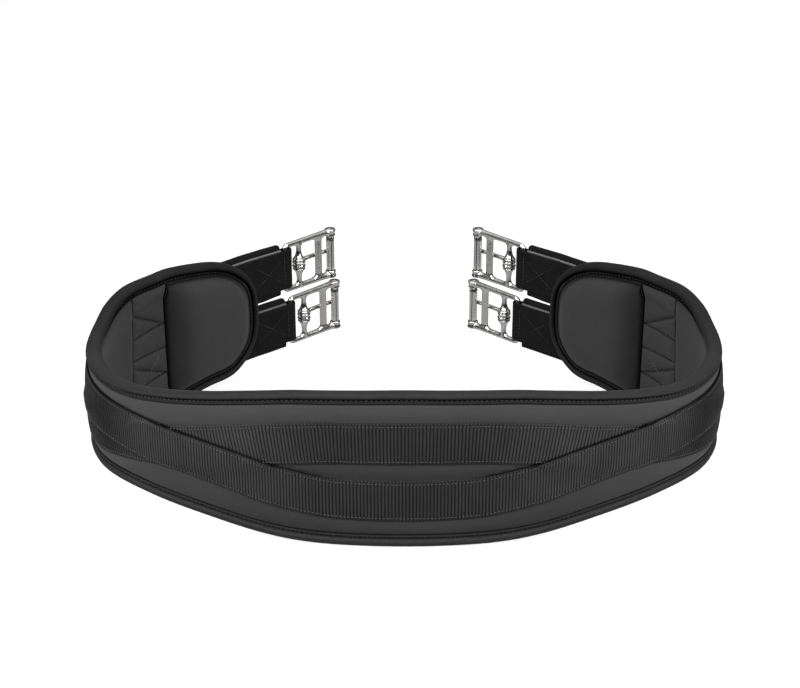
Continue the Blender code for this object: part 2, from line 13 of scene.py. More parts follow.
import bmesh
import bpy
import numpy as np
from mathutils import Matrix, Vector


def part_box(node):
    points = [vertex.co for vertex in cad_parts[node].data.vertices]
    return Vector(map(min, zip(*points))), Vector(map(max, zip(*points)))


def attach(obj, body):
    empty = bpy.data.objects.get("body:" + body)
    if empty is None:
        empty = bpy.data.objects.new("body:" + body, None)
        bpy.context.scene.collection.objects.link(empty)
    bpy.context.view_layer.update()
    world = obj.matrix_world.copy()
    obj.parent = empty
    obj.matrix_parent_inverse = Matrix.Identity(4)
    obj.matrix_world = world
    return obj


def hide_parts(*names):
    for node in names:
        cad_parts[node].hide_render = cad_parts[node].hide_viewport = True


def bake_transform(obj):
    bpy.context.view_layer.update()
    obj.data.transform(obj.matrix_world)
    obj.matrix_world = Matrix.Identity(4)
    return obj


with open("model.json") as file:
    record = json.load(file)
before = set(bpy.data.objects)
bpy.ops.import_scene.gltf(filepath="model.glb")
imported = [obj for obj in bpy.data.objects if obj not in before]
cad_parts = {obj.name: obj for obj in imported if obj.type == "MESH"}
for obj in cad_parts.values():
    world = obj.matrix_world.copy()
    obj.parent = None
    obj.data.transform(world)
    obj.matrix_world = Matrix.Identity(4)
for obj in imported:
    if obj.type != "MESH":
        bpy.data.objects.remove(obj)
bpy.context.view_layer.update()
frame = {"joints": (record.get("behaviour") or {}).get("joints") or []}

MM = 0.001

# ---------------------------------------------------------------- numeric helpers


def ease(x, start, end):
    """Smooth step from 0 at start to 1 at end."""
    x = np.clip((np.asarray(x, float) - start) / (end - start), 0, 1)
    return x * x * (3 - 2 * x)


def fade(x, start, end):
    return 1 - ease(x, start, end)


def bell(x, centre, width):
    return np.exp(-((x - centre) / width) ** 2)


def puff(depth, height, reach):
    """Rise of stuffed cloth at a depth inside its seam."""
    return height * (1 - np.exp(-np.maximum(depth, 0) / reach))


def quarter_round(x):
    """Quarter circle from 0 at x = 0 to 1 at x = 1."""
    return np.sqrt(np.clip(1 - (1 - np.clip(x, 0, 1)) ** 2, 0, 1))


def unit(vectors):
    return vectors / np.linalg.norm(vectors, axis=1, keepdims=True)


def lengths_along(points):
    steps = np.linalg.norm(np.diff(points, axis=0), axis=1)
    return np.concatenate([[0], np.cumsum(steps)])


def sample(values, lengths, at):
    """Rows of values, known at lengths, interpolated at other lengths."""
    return np.stack([np.interp(at, lengths, column) for column in values.T], -1)


def noise1(x, seed, scale):
    """Smooth repeatable noise along a line, about -1..1."""
    x = np.asarray(x, float) / scale + seed * 17.31
    cell = np.floor(x)
    share = x - cell

    def value(at):
        return np.modf(np.sin(at * 12.9898 + seed * 78.233) * 43758.5453)[0] * 2 % 2 - 1

    blend = share * share * (3 - 2 * share)
    return value(cell) * (1 - blend) + value(cell + 1) * blend


def noise2(x, y, seed, scale):
    """Smooth repeatable noise on a plane, about -1..1."""
    x, y = np.asarray(x, float) / scale, np.asarray(y, float) / scale
    i, j = np.floor(x), np.floor(y)
    x, y = x - i, y - j
    x, y = x * x * (3 - 2 * x), y * y * (3 - 2 * y)

    def value(i, j):
        mixed = np.sin(i * 127.1 + j * 311.7 + seed * 74.7) * 43758.5453
        return np.abs(np.modf(mixed)[0]) * 2 - 1

    return (value(i, j) * (1 - x) * (1 - y) + value(i + 1, j) * x * (1 - y)
            + value(i, j + 1) * (1 - x) * y + value(i + 1, j + 1) * x * y)


def even_curve(points):
    """Smooth monotone curve through (x, value) points, the same on both sides of x = 0."""
    knots, values = np.array(points, float).T
    slopes = np.diff(values) / np.diff(knots)
    tangents = np.zeros(len(knots))
    for i, (before, after) in enumerate(zip(slopes, slopes[1:]), 1):
        if before * after > 0:
            tangents[i] = 2 * before * after / (before + after)

    def value(x):
        x = np.clip(np.abs(np.asarray(x, float)), knots[0], knots[-1])
        i = np.clip(np.searchsorted(knots, x, side="right") - 1, 0, len(knots) - 2)
        width = knots[i + 1] - knots[i]
        x = (x - knots[i]) / width
        return ((1 + 2 * x) * (1 - x) ** 2 * values[i] + x * (1 - x) ** 2 * width * tangents[i]
                + x * x * (3 - 2 * x) * values[i + 1]
                + x * x * (x - 1) * width * tangents[i + 1])
    return value


# ---------------------------------------------------------------- the girth's shape
# Plan curve: a light bend in the middle, a tight bend at each side, a straight wing.
FRONT_BEND = 0.00254     # curvature of the middle, per mm
BEND_START, BEND_FULL, BEND_OUT, BEND_END = 100.0, 239.0, 344.0, 370.0
WING_ANGLE = math.radians(134.6)
WING_END = 463.0
CURVE_STEP, CURVE_END = 0.5, 640.0
MIDDLE_ABOVE_LOWEST = 56.61
ROUND_START, ROUND_POWER = 415.0, 2.8    # the wing's rounded end
FACE = 3.8               # y of the face cloths beyond the stack of layers
LEAF = 9.6               # how far the binding's leaf reaches in from the edge


def plan_curve():
    """Arc lengths from the middle, and the plan's x, y and heading at each."""
    arc = np.arange(0, CURVE_END + 0.01, CURVE_STEP)
    rise = ease(arc, BEND_START, BEND_FULL)
    hump = rise * fade(arc, BEND_OUT, BEND_END)
    light = FRONT_BEND * (1 - rise)
    tight = (WING_ANGLE - light.sum() * CURVE_STEP) / (hump.sum() * CURVE_STEP)
    bend = light + tight * hump
    heading = np.concatenate([[0], np.cumsum(CURVE_STEP / 2 * (bend[1:] + bend[:-1]))])
    between = 0.5 * (heading[1:] + heading[:-1])
    plan_x = np.concatenate([[0], np.cumsum(CURVE_STEP * np.cos(between))])
    plan_y = np.concatenate([[0], np.cumsum(CURVE_STEP * np.sin(between))])
    return arc, plan_x, plan_y, heading


ARC, PLAN_X, PLAN_Y, HEADING = plan_curve()
ORIGIN_Y = -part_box("outer_cover")[0].y / MM - 3.55
ORIGIN_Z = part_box("edge_binding")[0].z / MM + MIDDLE_ABOVE_LOWEST


def lean(x, z):
    """At the tight bends the wall bulges outward and its edges, the upper most, curl inward."""
    at_bend = ease(x, 200, 255) * fade(x, 292, 340)
    return at_bend * (0.8 - 3.2 * ease(z, 6, 44) - 1.6 * ease(-z, 12, 40))


def place(x, y, z):
    """World points in metres for unrolled places on the girth."""
    x, y, z = np.broadcast_arrays(*(np.asarray(v, float) for v in (x, y, z)))
    far = np.abs(x)
    y = y + lean(far, z)
    heading = np.interp(far, ARC, HEADING)
    world_x = np.interp(far, ARC, PLAN_X) + y * np.sin(heading)
    world_y = np.interp(far, ARC, PLAN_Y) - y * np.cos(heading)
    side = np.where(x < 0, -1.0, 1.0)
    return np.stack([side * world_x, world_y - ORIGIN_Y, z + ORIGIN_Z], -1) * MM


def outward(x):
    """World direction outward from the girth at x."""
    x = np.asarray(x, float)
    heading = np.interp(np.abs(x), ARC, HEADING)
    side = np.where(x < 0, -1.0, 1.0)
    return np.stack([side * np.sin(heading), -np.cos(heading), np.zeros_like(heading)], -1)


# (x, half of the girth's height)
half_height = even_curve([
    (0, 56.1), (30, 55.7), (50, 55.2), (70, 54.2), (90, 51.95), (105, 49.7), (118, 47.5),
    (130, 45.45), (165, 40.45), (190, 37.8), (205, 37.3), (230, 37.5), (260, 36.7), (295, 42.4),
    (316, 49.1), (345, 54.8), (362, 55.4), (375, 55.9), (390, 54.3), (410, 51.6), (425, 49.8),
    (437, 47.7), (448, 44.8), (463, 41.7)])
# (x, z of the line midway between the edges)
middle = even_curve([
    (0, -0.5), (30, -0.85), (60, -1.25), (90, -1.25), (118, -0.7), (140, -0.35), (165, -0.35),
    (200, -0.85), (225, -1.0), (258, -0.75), (295, -0.95), (345, -1.2), (362, -1.1), (380, -0.4),
    (395, -0.05), (410, -0.3), (425, -1.75), (437, -3.1), (448, -3.3), (463, -3.0)])
# (x, z of each webbing band's centre line)
# The lower band starts low in the middle, crosses over the upper band and ends above it.
band_over = even_curve([
    (0, -21.6), (40, -21.0), (85, -14.8), (115, -7.0), (145, -1.0), (175, 3.0), (205, 6.0),
    (240, 8.5), (290, 14.5), (340, 22.6), (372, 22.6)])
band_under = even_curve([
    (0, 20.0), (40, 19.4), (85, 15.2), (130, 7.5), (166, 1.3), (186, -1.5), (208, -5.2),
    (235, -9.5), (262, -11.5), (290, -16.5), (340, -22.6), (372, -22.6)])
WEB_HALF = 15.0
WEB_END = 372.0


def end_round(x, end):
    """Share of the full height left by a rounded end that closes at x = end."""
    share = np.clip((x - ROUND_START) / (end - ROUND_START), 0, 1)
    return (1 - share ** ROUND_POWER) ** (1 / ROUND_POWER)


def rounded_half(x):
    """Half height with the wing's rounded end."""
    return half_height(x) * end_round(np.abs(np.asarray(x, float)), WING_END)


def edge_distance(x, z):
    """About how far inside the girth's edge a place is."""
    far = np.abs(x)
    side = rounded_half(far) - np.abs(z - middle(far))
    return np.minimum(side, np.where(far > ROUND_START, WING_END - far, 1e3))


def upper_front(x, z):
    """1 along the upper half of the front, where the binding's outer leaf is narrower."""
    return fade(np.abs(x), 190, 300) * (z > middle(x))


# ---------------------------------------------------------------- mesh helpers
LOOKS = bpy.data.collections.new("looks")
bpy.context.scene.collection.children.link(LOOKS)


def mesh_object(name, verts, faces, mat):
    """A smooth mesh object. faces is a list of (count, 3) and (count, 4) arrays."""
    verts = np.asarray(verts, np.float32).reshape(-1, 3)
    faces = [np.asarray(group, np.int32) for group in faces]
    mesh = bpy.data.meshes.new(name)
    loops = np.concatenate([group.ravel() for group in faces])
    sizes = np.concatenate([np.full(len(group), group.shape[1], np.int32) for group in faces])
    starts = np.concatenate([[0], np.cumsum(sizes)[:-1]]).astype(np.int32)
    mesh.vertices.add(len(verts))
    mesh.vertices.foreach_set("co", verts.ravel())
    mesh.loops.add(len(loops))
    mesh.loops.foreach_set("vertex_index", loops)
    mesh.polygons.add(len(sizes))
    mesh.polygons.foreach_set("loop_start", starts)
    mesh.polygons.foreach_set("loop_total", sizes)
    mesh.update(calc_edges=True)
    mesh.validate()
    mesh.shade_smooth()
    obj = bpy.data.objects.new(name, mesh)
    LOOKS.objects.link(obj)
    mesh.materials.append(mat)
    return obj


def read_points(mesh):
    points = np.empty(len(mesh.vertices) * 3, np.float32)
    mesh.vertices.foreach_get("co", points)
    return points.reshape(-1, 3).astype(float)


def write_points(mesh, points):
    mesh.vertices.foreach_set("co", points.astype(np.float32).ravel())
    mesh.update()


def agree_normals(obj):
    """Faces turned to agree with their neighbours."""
    work = bmesh.new()
    work.from_mesh(obj.data)
    bmesh.ops.recalc_face_normals(work, faces=work.faces)
    work.to_mesh(obj.data)
    work.free()


def turn_out(obj):
    """Faces of a closed mesh turned to look outward."""
    mesh = obj.data
    mesh.calc_loop_triangles()
    corners = np.empty(len(mesh.loop_triangles) * 3, np.int32)
    mesh.loop_triangles.foreach_get("vertices", corners)
    first, second, third = read_points(mesh)[corners].reshape(-1, 3, 3).transpose(1, 0, 2)
    if np.einsum("ij,ij->i", first, np.cross(second, third)).sum() < 0:
        mesh.flip_normals()
    return obj


def grid_faces(rows, cols, close_rows=False, start=0):
    """Quads of a grid whose rows are closed loops."""
    row, col = np.meshgrid(np.arange(rows if close_rows else rows - 1), np.arange(cols),
                           indexing="ij")
    next_row, next_col = (row + 1) % rows, (col + 1) % cols
    quads = np.stack([row * cols + col, row * cols + next_col,
                      next_row * cols + next_col, next_row * cols + col], -1)
    return quads.reshape(-1, 4) + start


def capped(rings, ends):
    """A part (verts, quads, tris) from rings of points and the centres of its two caps."""
    rows, cols, _ = rings.shape
    apex = rows * cols
    col = np.arange(cols)
    after = (col + 1) % cols
    tris = np.concatenate([np.stack([np.full(cols, apex), after, col], -1),
                           np.stack([np.full(cols, apex + 1), apex - cols + col,
                                     apex - cols + after], -1)])
    return np.concatenate([rings.reshape(-1, 3), ends]), grid_faces(rows, cols), tris


def tube_mesh(name, rings, mat, close_rows=False):
    """A closed mesh from rings of points: capped, or joined from the last ring to the first."""
    if close_rows:
        verts, faces = rings.reshape(-1, 3), [grid_faces(*rings.shape[:2], close_rows=True)]
    else:
        verts, *faces = capped(rings, np.array([rings[0].mean(0), rings[-1].mean(0)]))
    return turn_out(mesh_object(name, verts, faces, mat))


def join_parts(name, parts, mat):
    """Many parts (verts, quads, tris) gathered into one mesh object."""
    starts = np.cumsum([0] + [len(verts) for verts, _, _ in parts])
    verts, quads, tris = zip(*parts)
    faces = [np.concatenate([group + start for group, start in zip(kind, starts)])
             for kind in (quads, tris)]
    return mesh_object(name, np.concatenate(verts), faces, mat)


def mark(obj, attribute, values, rest=0.0):
    """Point values from 0 to 1; points beyond the given ones get rest."""
    values = np.ravel(values)
    values = np.concatenate([values, np.full(len(obj.data.vertices) - len(values), rest)])
    layer = obj.data.attributes.new(attribute, "FLOAT", "POINT")
    layer.data.foreach_set("value", np.clip(values, 0, 1).astype(np.float32))


def piece(obj, body, slot, *nodes):
    """Tells the frame which body the object rides and hides the CAD pieces it replaces; slot is
    not used.
    """
    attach(obj, body)
    if nodes:
        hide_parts(*nodes)


def unit_stitch(sides=6, rings=5):
    """A stitch of length 1 along X and radius 1, with rounded ends."""
    verts = [(-0.5, 0, 0)]
    for i in range(rings):
        turn = (-1 + 2 * (i + 0.5) / rings) * math.pi / 2
        radius = math.cos(turn) ** 0.55
        for k in range(sides):
            angle = 2 * math.pi * k / sides
            verts.append((0.5 * math.sin(turn), radius * math.cos(angle),
                          radius * math.sin(angle)))
    verts.append((0.5, 0, 0))
    quads, tris = [], []
    for i in range(rings - 1):
        for k in range(sides):
            here, after = 1 + i * sides + k, 1 + i * sides + (k + 1) % sides
            quads.append((here, here + sides, after + sides, after))
    apex, last = len(verts) - 1, 1 + (rings - 1) * sides
    for k in range(sides):
        after = (k + 1) % sides
        tris += [(0, 1 + k, 1 + after), (apex, last + after, last + k)]
    return np.array(verts, float), np.array(quads), np.array(tris)


UNIT_STITCH = unit_stitch()


def stitches(path, normals, pitch, length, radius, lift=0.0, closed=False):
    """A part with stitches laid along a world path, on surfaces with the given normals."""
    normals = np.broadcast_to(normals, path.shape)
    if closed:
        path = np.concatenate([path, path[:1]])
        normals = np.concatenate([normals, normals[:1]])
    lengths = lengths_along(path)
    count = max(1, int(round(lengths[-1] / (pitch * MM))))
    step = lengths[-1] / count
    centres = (np.arange(count) + 0.5) * step
    reach = length / pitch * step / 2
    start = sample(path, lengths, centres - reach)
    end = sample(path, lengths, centres + reach)
    normal = unit(sample(normals, lengths, centres))
    size = np.linalg.norm(end - start, axis=1, keepdims=True)
    along = (end - start) / np.maximum(size, 1e-9)
    normal = unit(normal - (normal * along).sum(1, keepdims=True) * along)
    across = np.cross(normal, along)
    centre = (start + end) / 2 + normal * (lift * MM)
    verts, quads, tris = UNIT_STITCH
    x, y, z = (verts[None, :, i:i + 1] for i in range(3))
    radius *= MM
    # each stitch arches: its ends dive into the cloth
    arch = (1 - (2 * x) ** 2) * radius * 0.9 - radius * 0.55
    points = (centre[:, None] + along[:, None] * (x * size[:, None])
              + across[:, None] * (y * radius) + normal[:, None] * (z * radius + arch))
    offset = (np.arange(count) * len(verts))[:, None, None]
    return (points.reshape(-1, 3), (quads[None] + offset).reshape(-1, 4),
            (tris[None] + offset).reshape(-1, 3))


# ---------------------------------------------------------------- shader helpers


def rgba(value):
    """A colour with alpha from a colour or a grey level."""
    return (*value, 1) if isinstance(value, tuple) else (value, value, value, 1)


def scaled(colour, factor):
    return tuple(channel * factor for channel in colour)


class Nodes:
    """A node tree with short ways to add what the materials and the world need."""

    def __init__(self, tree):
        self.tree = tree
        tree.nodes.clear()

    def feed(self, socket, value):
        if isinstance(value, bpy.types.NodeSocket):
            self.tree.links.new(value, socket)
        else:
            socket.default_value = rgba(value) if socket.type == "RGBA" else value

    def add(self, kind, inputs=None, **settings):
        """A node with its settings, and its inputs by name or index."""
        node = self.tree.nodes.new("ShaderNode" + kind)
        for key, value in settings.items():
            setattr(node, key, value)
        for key, value in (inputs or {}).items():
            self.feed(node.inputs[key], value)
        return node

    def math(self, operation, first, second):
        return self.add("Math", {0: first, 1: second}, operation=operation).outputs[0]

    def remap(self, value, between, to):
        inputs = dict(enumerate((value, *between, *to)))
        return self.add("MapRange", inputs).outputs[0]

    def ramp(self, value, stops):
        """Colour ramp from (position, colour or grey) stops."""
        node = self.add("ValToRGB", {0: value})
        elements = node.color_ramp.elements
        for element, (position, colour) in zip(elements, (stops[0], stops[-1])):
            element.position = position
            element.color = rgba(colour)
        for position, colour in stops[1:-1]:
            elements.new(position).color = rgba(colour)
        return node.outputs[0]

    def by_ray(self, ray, when, otherwise):
        """One shader for rays of a kind and another for the rest."""
        is_ray = self.add("LightPath").outputs[ray]
        return self.add("MixShader", {0: is_ray, 1: otherwise, 2: when}).outputs[0]


class Mat(Nodes):
    """A principled material."""

    def __init__(self, name):
        self.material = bpy.data.materials.new(name)
        self.material.use_nodes = True
        super().__init__(self.material.node_tree)
        self.output = self.add("OutputMaterial")
        self.principled = self.add("BsdfPrincipled")
        self.feed(self.output.inputs[0], self.principled.outputs[0])
        self.coords = None

    def object_coords(self):
        if self.coords is None:
            self.coords = self.add("TexCoord").outputs["Object"]
        return self.coords

    def noise(self, scale, detail=3.0, rough=0.55, vector=None):
        return self.add("TexNoise", {
            "Scale": scale, "Detail": detail, "Roughness": rough,
            "Vector": vector or self.object_coords()}).outputs["Fac"]

    def voronoi(self, scale, feature="F1"):
        return self.add("TexVoronoi", {"Scale": scale, "Vector": self.object_coords()},
                        feature=feature).outputs["Distance"]

    def attribute(self, name):
        return self.add("Attribute", attribute_name=name).outputs["Fac"]

    def mix(self, share, first, second):
        return self.add("Mix", {0: share, 6: first, 7: second}, data_type="RGBA").outputs[2]

    def bump(self, height, depth, strength, over=None):
        """Bump normal, depth in mm, laid over another normal if one is given."""
        inputs = {"Distance": depth * MM, "Strength": strength, "Height": height}
        if over is not None:
            inputs["Normal"] = over
        return self.add("Bump", inputs).outputs[0]

    def set(self, **values):
        for key, value in values.items():
            self.feed(self.principled.inputs[key.replace("_", " ")], value)
        return self.material

    def set_sunk(self, colour, sheen, specular, **values):
        """Sets values; painted shade, kept in a point attribute, takes colour, sheen and
        highlight away.
        """
        shade = self.remap(self.attribute("deep"), between=(0.0, 1.0), to=(1.0, 0.05))
        shaded = self.add("VectorMath", {0: colour, "Scale": shade}, operation="SCALE")
        return self.set(Base_Color=shaded.outputs[0],
                        Sheen_Weight=self.math("MULTIPLY", shade, sheen),
                        Specular_IOR_Level=self.math("MULTIPLY", shade, specular), **values)


# ---------------------------------------------------------------- materials


def knit_cloth(name, dark, light):
    """Fine jersey laminated to foam: tiny loops, soft mottling, a little lint and sheen."""
    mat = Mat(name)
    fine = mat.noise(scale=900.0, detail=2.0, rough=0.6)
    mottling = mat.math("ADD", mat.math("MULTIPLY", mat.noise(scale=22.0, detail=4.0, rough=0.6),
                                        0.7), mat.math("MULTIPLY", fine, 0.3))
    cool = (1, 1, 1.015)
    colour = mat.ramp(mottling, [(0.30, scaled(cool, dark)), (0.72, scaled(cool, light))])
    lint = mat.remap(mat.noise(scale=2600.0, detail=1.0, rough=0.5),
                     between=(0.76, 0.82), to=(0.0, 0.30))
    colour = mat.mix(lint, colour, scaled((2.2, 2.2, 2.25), light))
    normal = mat.bump(mat.voronoi(scale=1500.0), depth=0.09, strength=0.45)
    normal = mat.bump(mat.noise(scale=150.0, detail=3.0, rough=0.6), depth=0.14, strength=0.35,
                      over=normal)
    return mat.set_sunk(colour, sheen=0.10, specular=0.16, Normal=normal, Sheen_Roughness=0.5,
                        Roughness=mat.remap(fine, between=(0.3, 0.7), to=(0.66, 0.78)))


def woven(name, dark, light, thread, rough, sheen=0.06, specular=0.2, ribbed=False):
    """Woven narrow fabric with threads of a width in mm; ribbed cloth takes painted light and
    shade from a point attribute, darkest between ribs.
    """
    mat = Mat(name)
    fine = mat.noise(scale=1500.0, detail=2.0, rough=0.6)
    tone = mat.math("ADD", mat.math("MULTIPLY", mat.noise(scale=60.0, detail=3.0, rough=0.6),
                                    0.5), mat.math("MULTIPLY", fine, 0.5))
    colour = mat.ramp(tone, [(0.30, dark), (0.70, light)])
    if ribbed:
        # painted shade in the valleys between ribs and along the band, painted light on the
        # ridges
        ridge = mat.remap(mat.attribute("rib"), between=(0.15, 0.95), to=(0.0, 1.0))
        colour = mat.mix(ridge, scaled(dark, 0.08), colour)
    normal = mat.bump(mat.voronoi(scale=1000.0 / thread), depth=0.10, strength=0.7)
    normal = mat.bump(fine, depth=0.08, strength=0.4, over=normal)
    roughness = mat.remap(fine, between=(0.3, 0.7), to=(rough - 0.08, rough + 0.08))
    return mat.set_sunk(colour, sheen, specular, Normal=normal, Sheen_Roughness=0.4,
                        Roughness=roughness)


def leather(name, dark, light):
    """Finished strap leather: pebbled grain, finer creases, dull patches."""
    mat = Mat(name)
    cells = mat.voronoi(scale=900.0, feature="DISTANCE_TO_EDGE")
    wear = mat.noise(scale=55.0, detail=4.0, rough=0.6)
    normal = mat.bump(mat.ramp(cells, [(0.0, 0.0), (0.22, 1.0)]), depth=0.12, strength=0.7)
    normal = mat.bump(mat.noise(scale=380.0, detail=5.0, rough=0.65), depth=0.25, strength=0.4,
                      over=normal)
    return mat.set(Base_Color=mat.ramp(wear, [(0.32, dark), (0.75, light)]), Normal=normal,
                   Roughness=mat.remap(wear, between=(0.3, 0.75), to=(0.39, 0.59)),
                   Specular_IOR_Level=0.10)


def steel(name, dark, light, rough):
    """Satin steel: shallow pits, fine scratches, and painted shade in the hollows from ambient
    occlusion.
    """
    mat = Mat(name)
    # painted shade: where ambient occlusion finds a hollow, the colour falls to a fifth
    shelter = mat.add("AmbientOcclusion", {"Distance": 0.0035}, samples=6).outputs["AO"]
    bare = mat.remap(shelter, between=(0.30, 0.85), to=(0.0, 1.0))
    patches = mat.noise(scale=240.0, detail=4.0, rough=0.6)
    tone = mat.mix(bare, scaled(dark, 0.22), mat.ramp(patches, [(0.3, dark), (0.7, light)]))
    pits = mat.noise(scale=1500.0, detail=3.0, rough=0.6)
    squeezed = mat.add("Mapping", {"Scale": (1.0, 1.0, 7.0), "Vector": mat.object_coords()})
    scratches = mat.noise(scale=900.0, detail=2.0, rough=0.5, vector=squeezed.outputs[0])
    normal = mat.bump(pits, depth=0.03, strength=0.12)
    normal = mat.bump(scratches, depth=0.02, strength=0.10, over=normal)
    dullness = mat.math("ADD", patches, mat.math("MULTIPLY", pits, 0.3))
    return mat.set(Base_Color=tone, Metallic=1.0, Normal=normal,
                   Roughness=mat.remap(dullness, between=(0.4, 0.95),
                                       to=(rough - 0.06, rough + 0.12)))


def thread(name, colour):
    """Twisted, slightly fuzzy sewing thread."""
    mat = Mat(name)
    twist = mat.add("TexWave", {"Scale": 2600.0, "Detail": 1.0, "Vector": mat.object_coords()},
                    bands_direction="DIAGONAL").outputs["Fac"]
    fuzz = mat.noise(scale=3000.0, detail=2.0, rough=0.6)
    tone = mat.ramp(mat.math("MULTIPLY", twist, fuzz), [(0.1, scaled(colour, 0.6)),
                                                        (0.6, colour)])
    return mat.set(Base_Color=tone, Roughness=0.45, Sheen_Weight=0.2, Specular_IOR_Level=0.5,
                   Normal=mat.bump(twist, depth=0.06, strength=0.5))


def foam_cells():
    mat = Mat("foam_cells")
    tone = mat.ramp(mat.noise(scale=300.0, detail=4.0), [(0.3, 0.07), (0.7, 0.12)])
    return mat.set(Base_Color=tone, Roughness=0.95,
                   Normal=mat.bump(mat.voronoi(scale=1200.0), depth=0.2, strength=0.8))


NEOPRENE = knit_cloth("outer_neoprene_cloth", dark=0.043, light=0.054)
LINING = knit_cloth("lining_cloth", dark=0.0225, light=0.029)
# the patches are of the lining cloth; their darker colour is painted shade
PATCH = knit_cloth("patch_cloth", dark=0.021, light=0.028)
PAD = knit_cloth("pad_cloth", dark=0.022, light=0.029)
BINDING = woven("binding_cloth", dark=(0.0155, 0.0155, 0.016), light=(0.0215, 0.0215, 0.0225),
                thread=0.42, rough=0.56, sheen=0.04, specular=0.14)
WEBBING = woven("webbing_cloth", dark=(0.031, 0.031, 0.0315), light=(0.054, 0.054, 0.0555),
                thread=0.5, rough=0.54, sheen=0.05, specular=0.16, ribbed=True)
ELASTIC = woven("elastic_cloth", dark=(0.0045, 0.0045, 0.0048), light=(0.0085, 0.0085, 0.009),
                thread=0.5, rough=0.78, sheen=0.03, specular=0.12)
CORE = woven("core_cloth", dark=(0.085, 0.083, 0.083), light=(0.15, 0.146, 0.146),
             thread=0.45, rough=0.8)
LEATHER = leather("chape_leather", dark=(0.0033, 0.0032, 0.0031), light=(0.0064, 0.0061, 0.0059))
STEEL = steel("buckle_steel", dark=(0.58, 0.575, 0.565), light=(0.72, 0.71, 0.70), rough=0.17)
ROLLED = steel("roller_steel", dark=(0.64, 0.635, 0.625), light=(0.80, 0.79, 0.78), rough=0.16)
FORGED = steel("tongue_steel", dark=(0.50, 0.495, 0.485), light=(0.62, 0.61, 0.60), rough=0.18)
# All the thread is black. The grey of the next three is painted highlight, for the light the
# glossy thread catches; the fourth is darkest, as painted shade on the binding's inner seam.
THREAD = thread("black_thread", (0.095, 0.095, 0.097))
THREAD_BIND = thread("binding_thread", (0.060, 0.060, 0.061))
THREAD_WEB = thread("webbing_thread", (0.066, 0.066, 0.067))
THREAD_DARK = thread("dull_thread", (0.0058, 0.0058, 0.006))
THREAD_QUILT = thread("quilting_thread", (0.018, 0.018, 0.0185))
FOAM = foam_cells()

# ---------------------------------------------------------------- the face cloths and the foam
PAD_START, PAD_END = 369.3, 452.0
PATCH_START, PATCH_LEAN = 335.3, 0.088
CLOTH_INSET, FOAM_INSET = 2.2, 3.0
FOAM_FACE = 1.75
# distances from the girth's edge at which a sheet has columns, closest at the binding's leaf
EDGE_COLUMNS = np.array([0, 2.5, 4.2, 5.2, 5.8, 6.3, 6.8, 7.3, 7.8, 8.3, 8.8, 9.3, 9.8, 10.4,
                         11.1, 12.0, 13.2, 14.6, 16.2])


def stations(step, inset, ends=26):
    """(x, half height) of the right half, spaced by step and closer round the wing's end."""
    x = np.arange(0, ROUND_START - step * 0.5, step)
    turn = 0.992 * np.arange(ends) / (ends - 1) * math.pi / 2
    power = 2 / ROUND_POWER
    end_x = ROUND_START + (WING_END - inset - ROUND_START) * np.sin(turn) ** power
    end_half = (half_height(end_x) - inset) * np.cos(turn) ** power
    return np.concatenate([x, end_x]), np.concatenate([half_height(x) - inset, end_half])


def leaf_distance(x, z):
    """How far inside the end of the binding's outer leaf a place is."""
    return edge_distance(x, z) - (LEAF - 2.0 * upper_front(x, z))


def web_depth(x, z, centre):
    """Signed distance inside a webbing band: positive on the band."""
    return WEB_HALF - np.abs(z - centre(x))


def stands_off(x):
    """1 where the over band stands off what it covers."""
    return ease(np.abs(x), 34, 60) * fade(np.abs(x), 250, 290)


def band_shadow(x, z):
    """1 in the narrow shadow along the upper edge of the over band."""
    out = -web_depth(x, z, band_over)
    strength = np.where(z > band_over(x), 1.0, 0.4)
    return strength * stands_off(x) * fade(out, 0.4, 2.3) * (out > -1.5)


def cover_face(x, z):
    """y of the outer cloth: pressed by the binding's seam and the webbing, full in between."""
    edge = leaf_distance(x, z)
    on_web = np.maximum(web_depth(x, z, band_over), web_depth(x, z, band_under))
    off_web = np.where(np.abs(x) < WEB_END, -on_web, 1e3)
    depth = np.where(off_web < 0, 0, np.minimum(edge, off_web))
    wave = 0.12 * noise2(x, z, 3, 26.0) + 0.05 * noise2(x, z, 13, 9.0)
    dip = -0.75 * fade(edge, -0.3, 1.3)
    return FACE - 0.25 + puff(depth, 1.5, 3.4) + wave * ease(depth, 0, 6) + dip


def cover_shade(x, z):
    """Painted shade: in the seam's groove, the shadow beside the over band, and shade over the
    front, most below its bulge.
    """
    far = np.abs(x)
    below = (0.33 * fade(far, 60, 240) * fade(z - middle(x), 6, 24)
             + 0.13 * fade(far, 200, 300))
    seam = 0.85 * fade(leaf_distance(x, z), -0.1, 1.0)
    return np.maximum(np.maximum(seam, 0.8 * band_shadow(x, z)), below)


def lining_face(x, z):
    """y of the inner cloth: it lies flat under the quilted patches and the end pads."""
    far = np.abs(x)
    depth = edge_distance(x, z) - LEAF
    bare = fade(far - PATCH_LEAN * (z - middle(far)), PATCH_START - 1.0, PATCH_START + 1.0)
    fullness = puff(depth, 1.3, 3.8) + 0.12 * noise2(x, z, 8, 30.0) * ease(depth, 0, 6)
    dip = -0.75 * fade(depth, -0.3, 1.3) * bare
    return -(FACE - 0.25 + fullness * bare + dip)


def lining_shade(x, z):
    # painted shade in the seam's groove at the binding's leaf
    return 0.85 * fade(edge_distance(x, z) - LEAF, -0.1, 1.0)


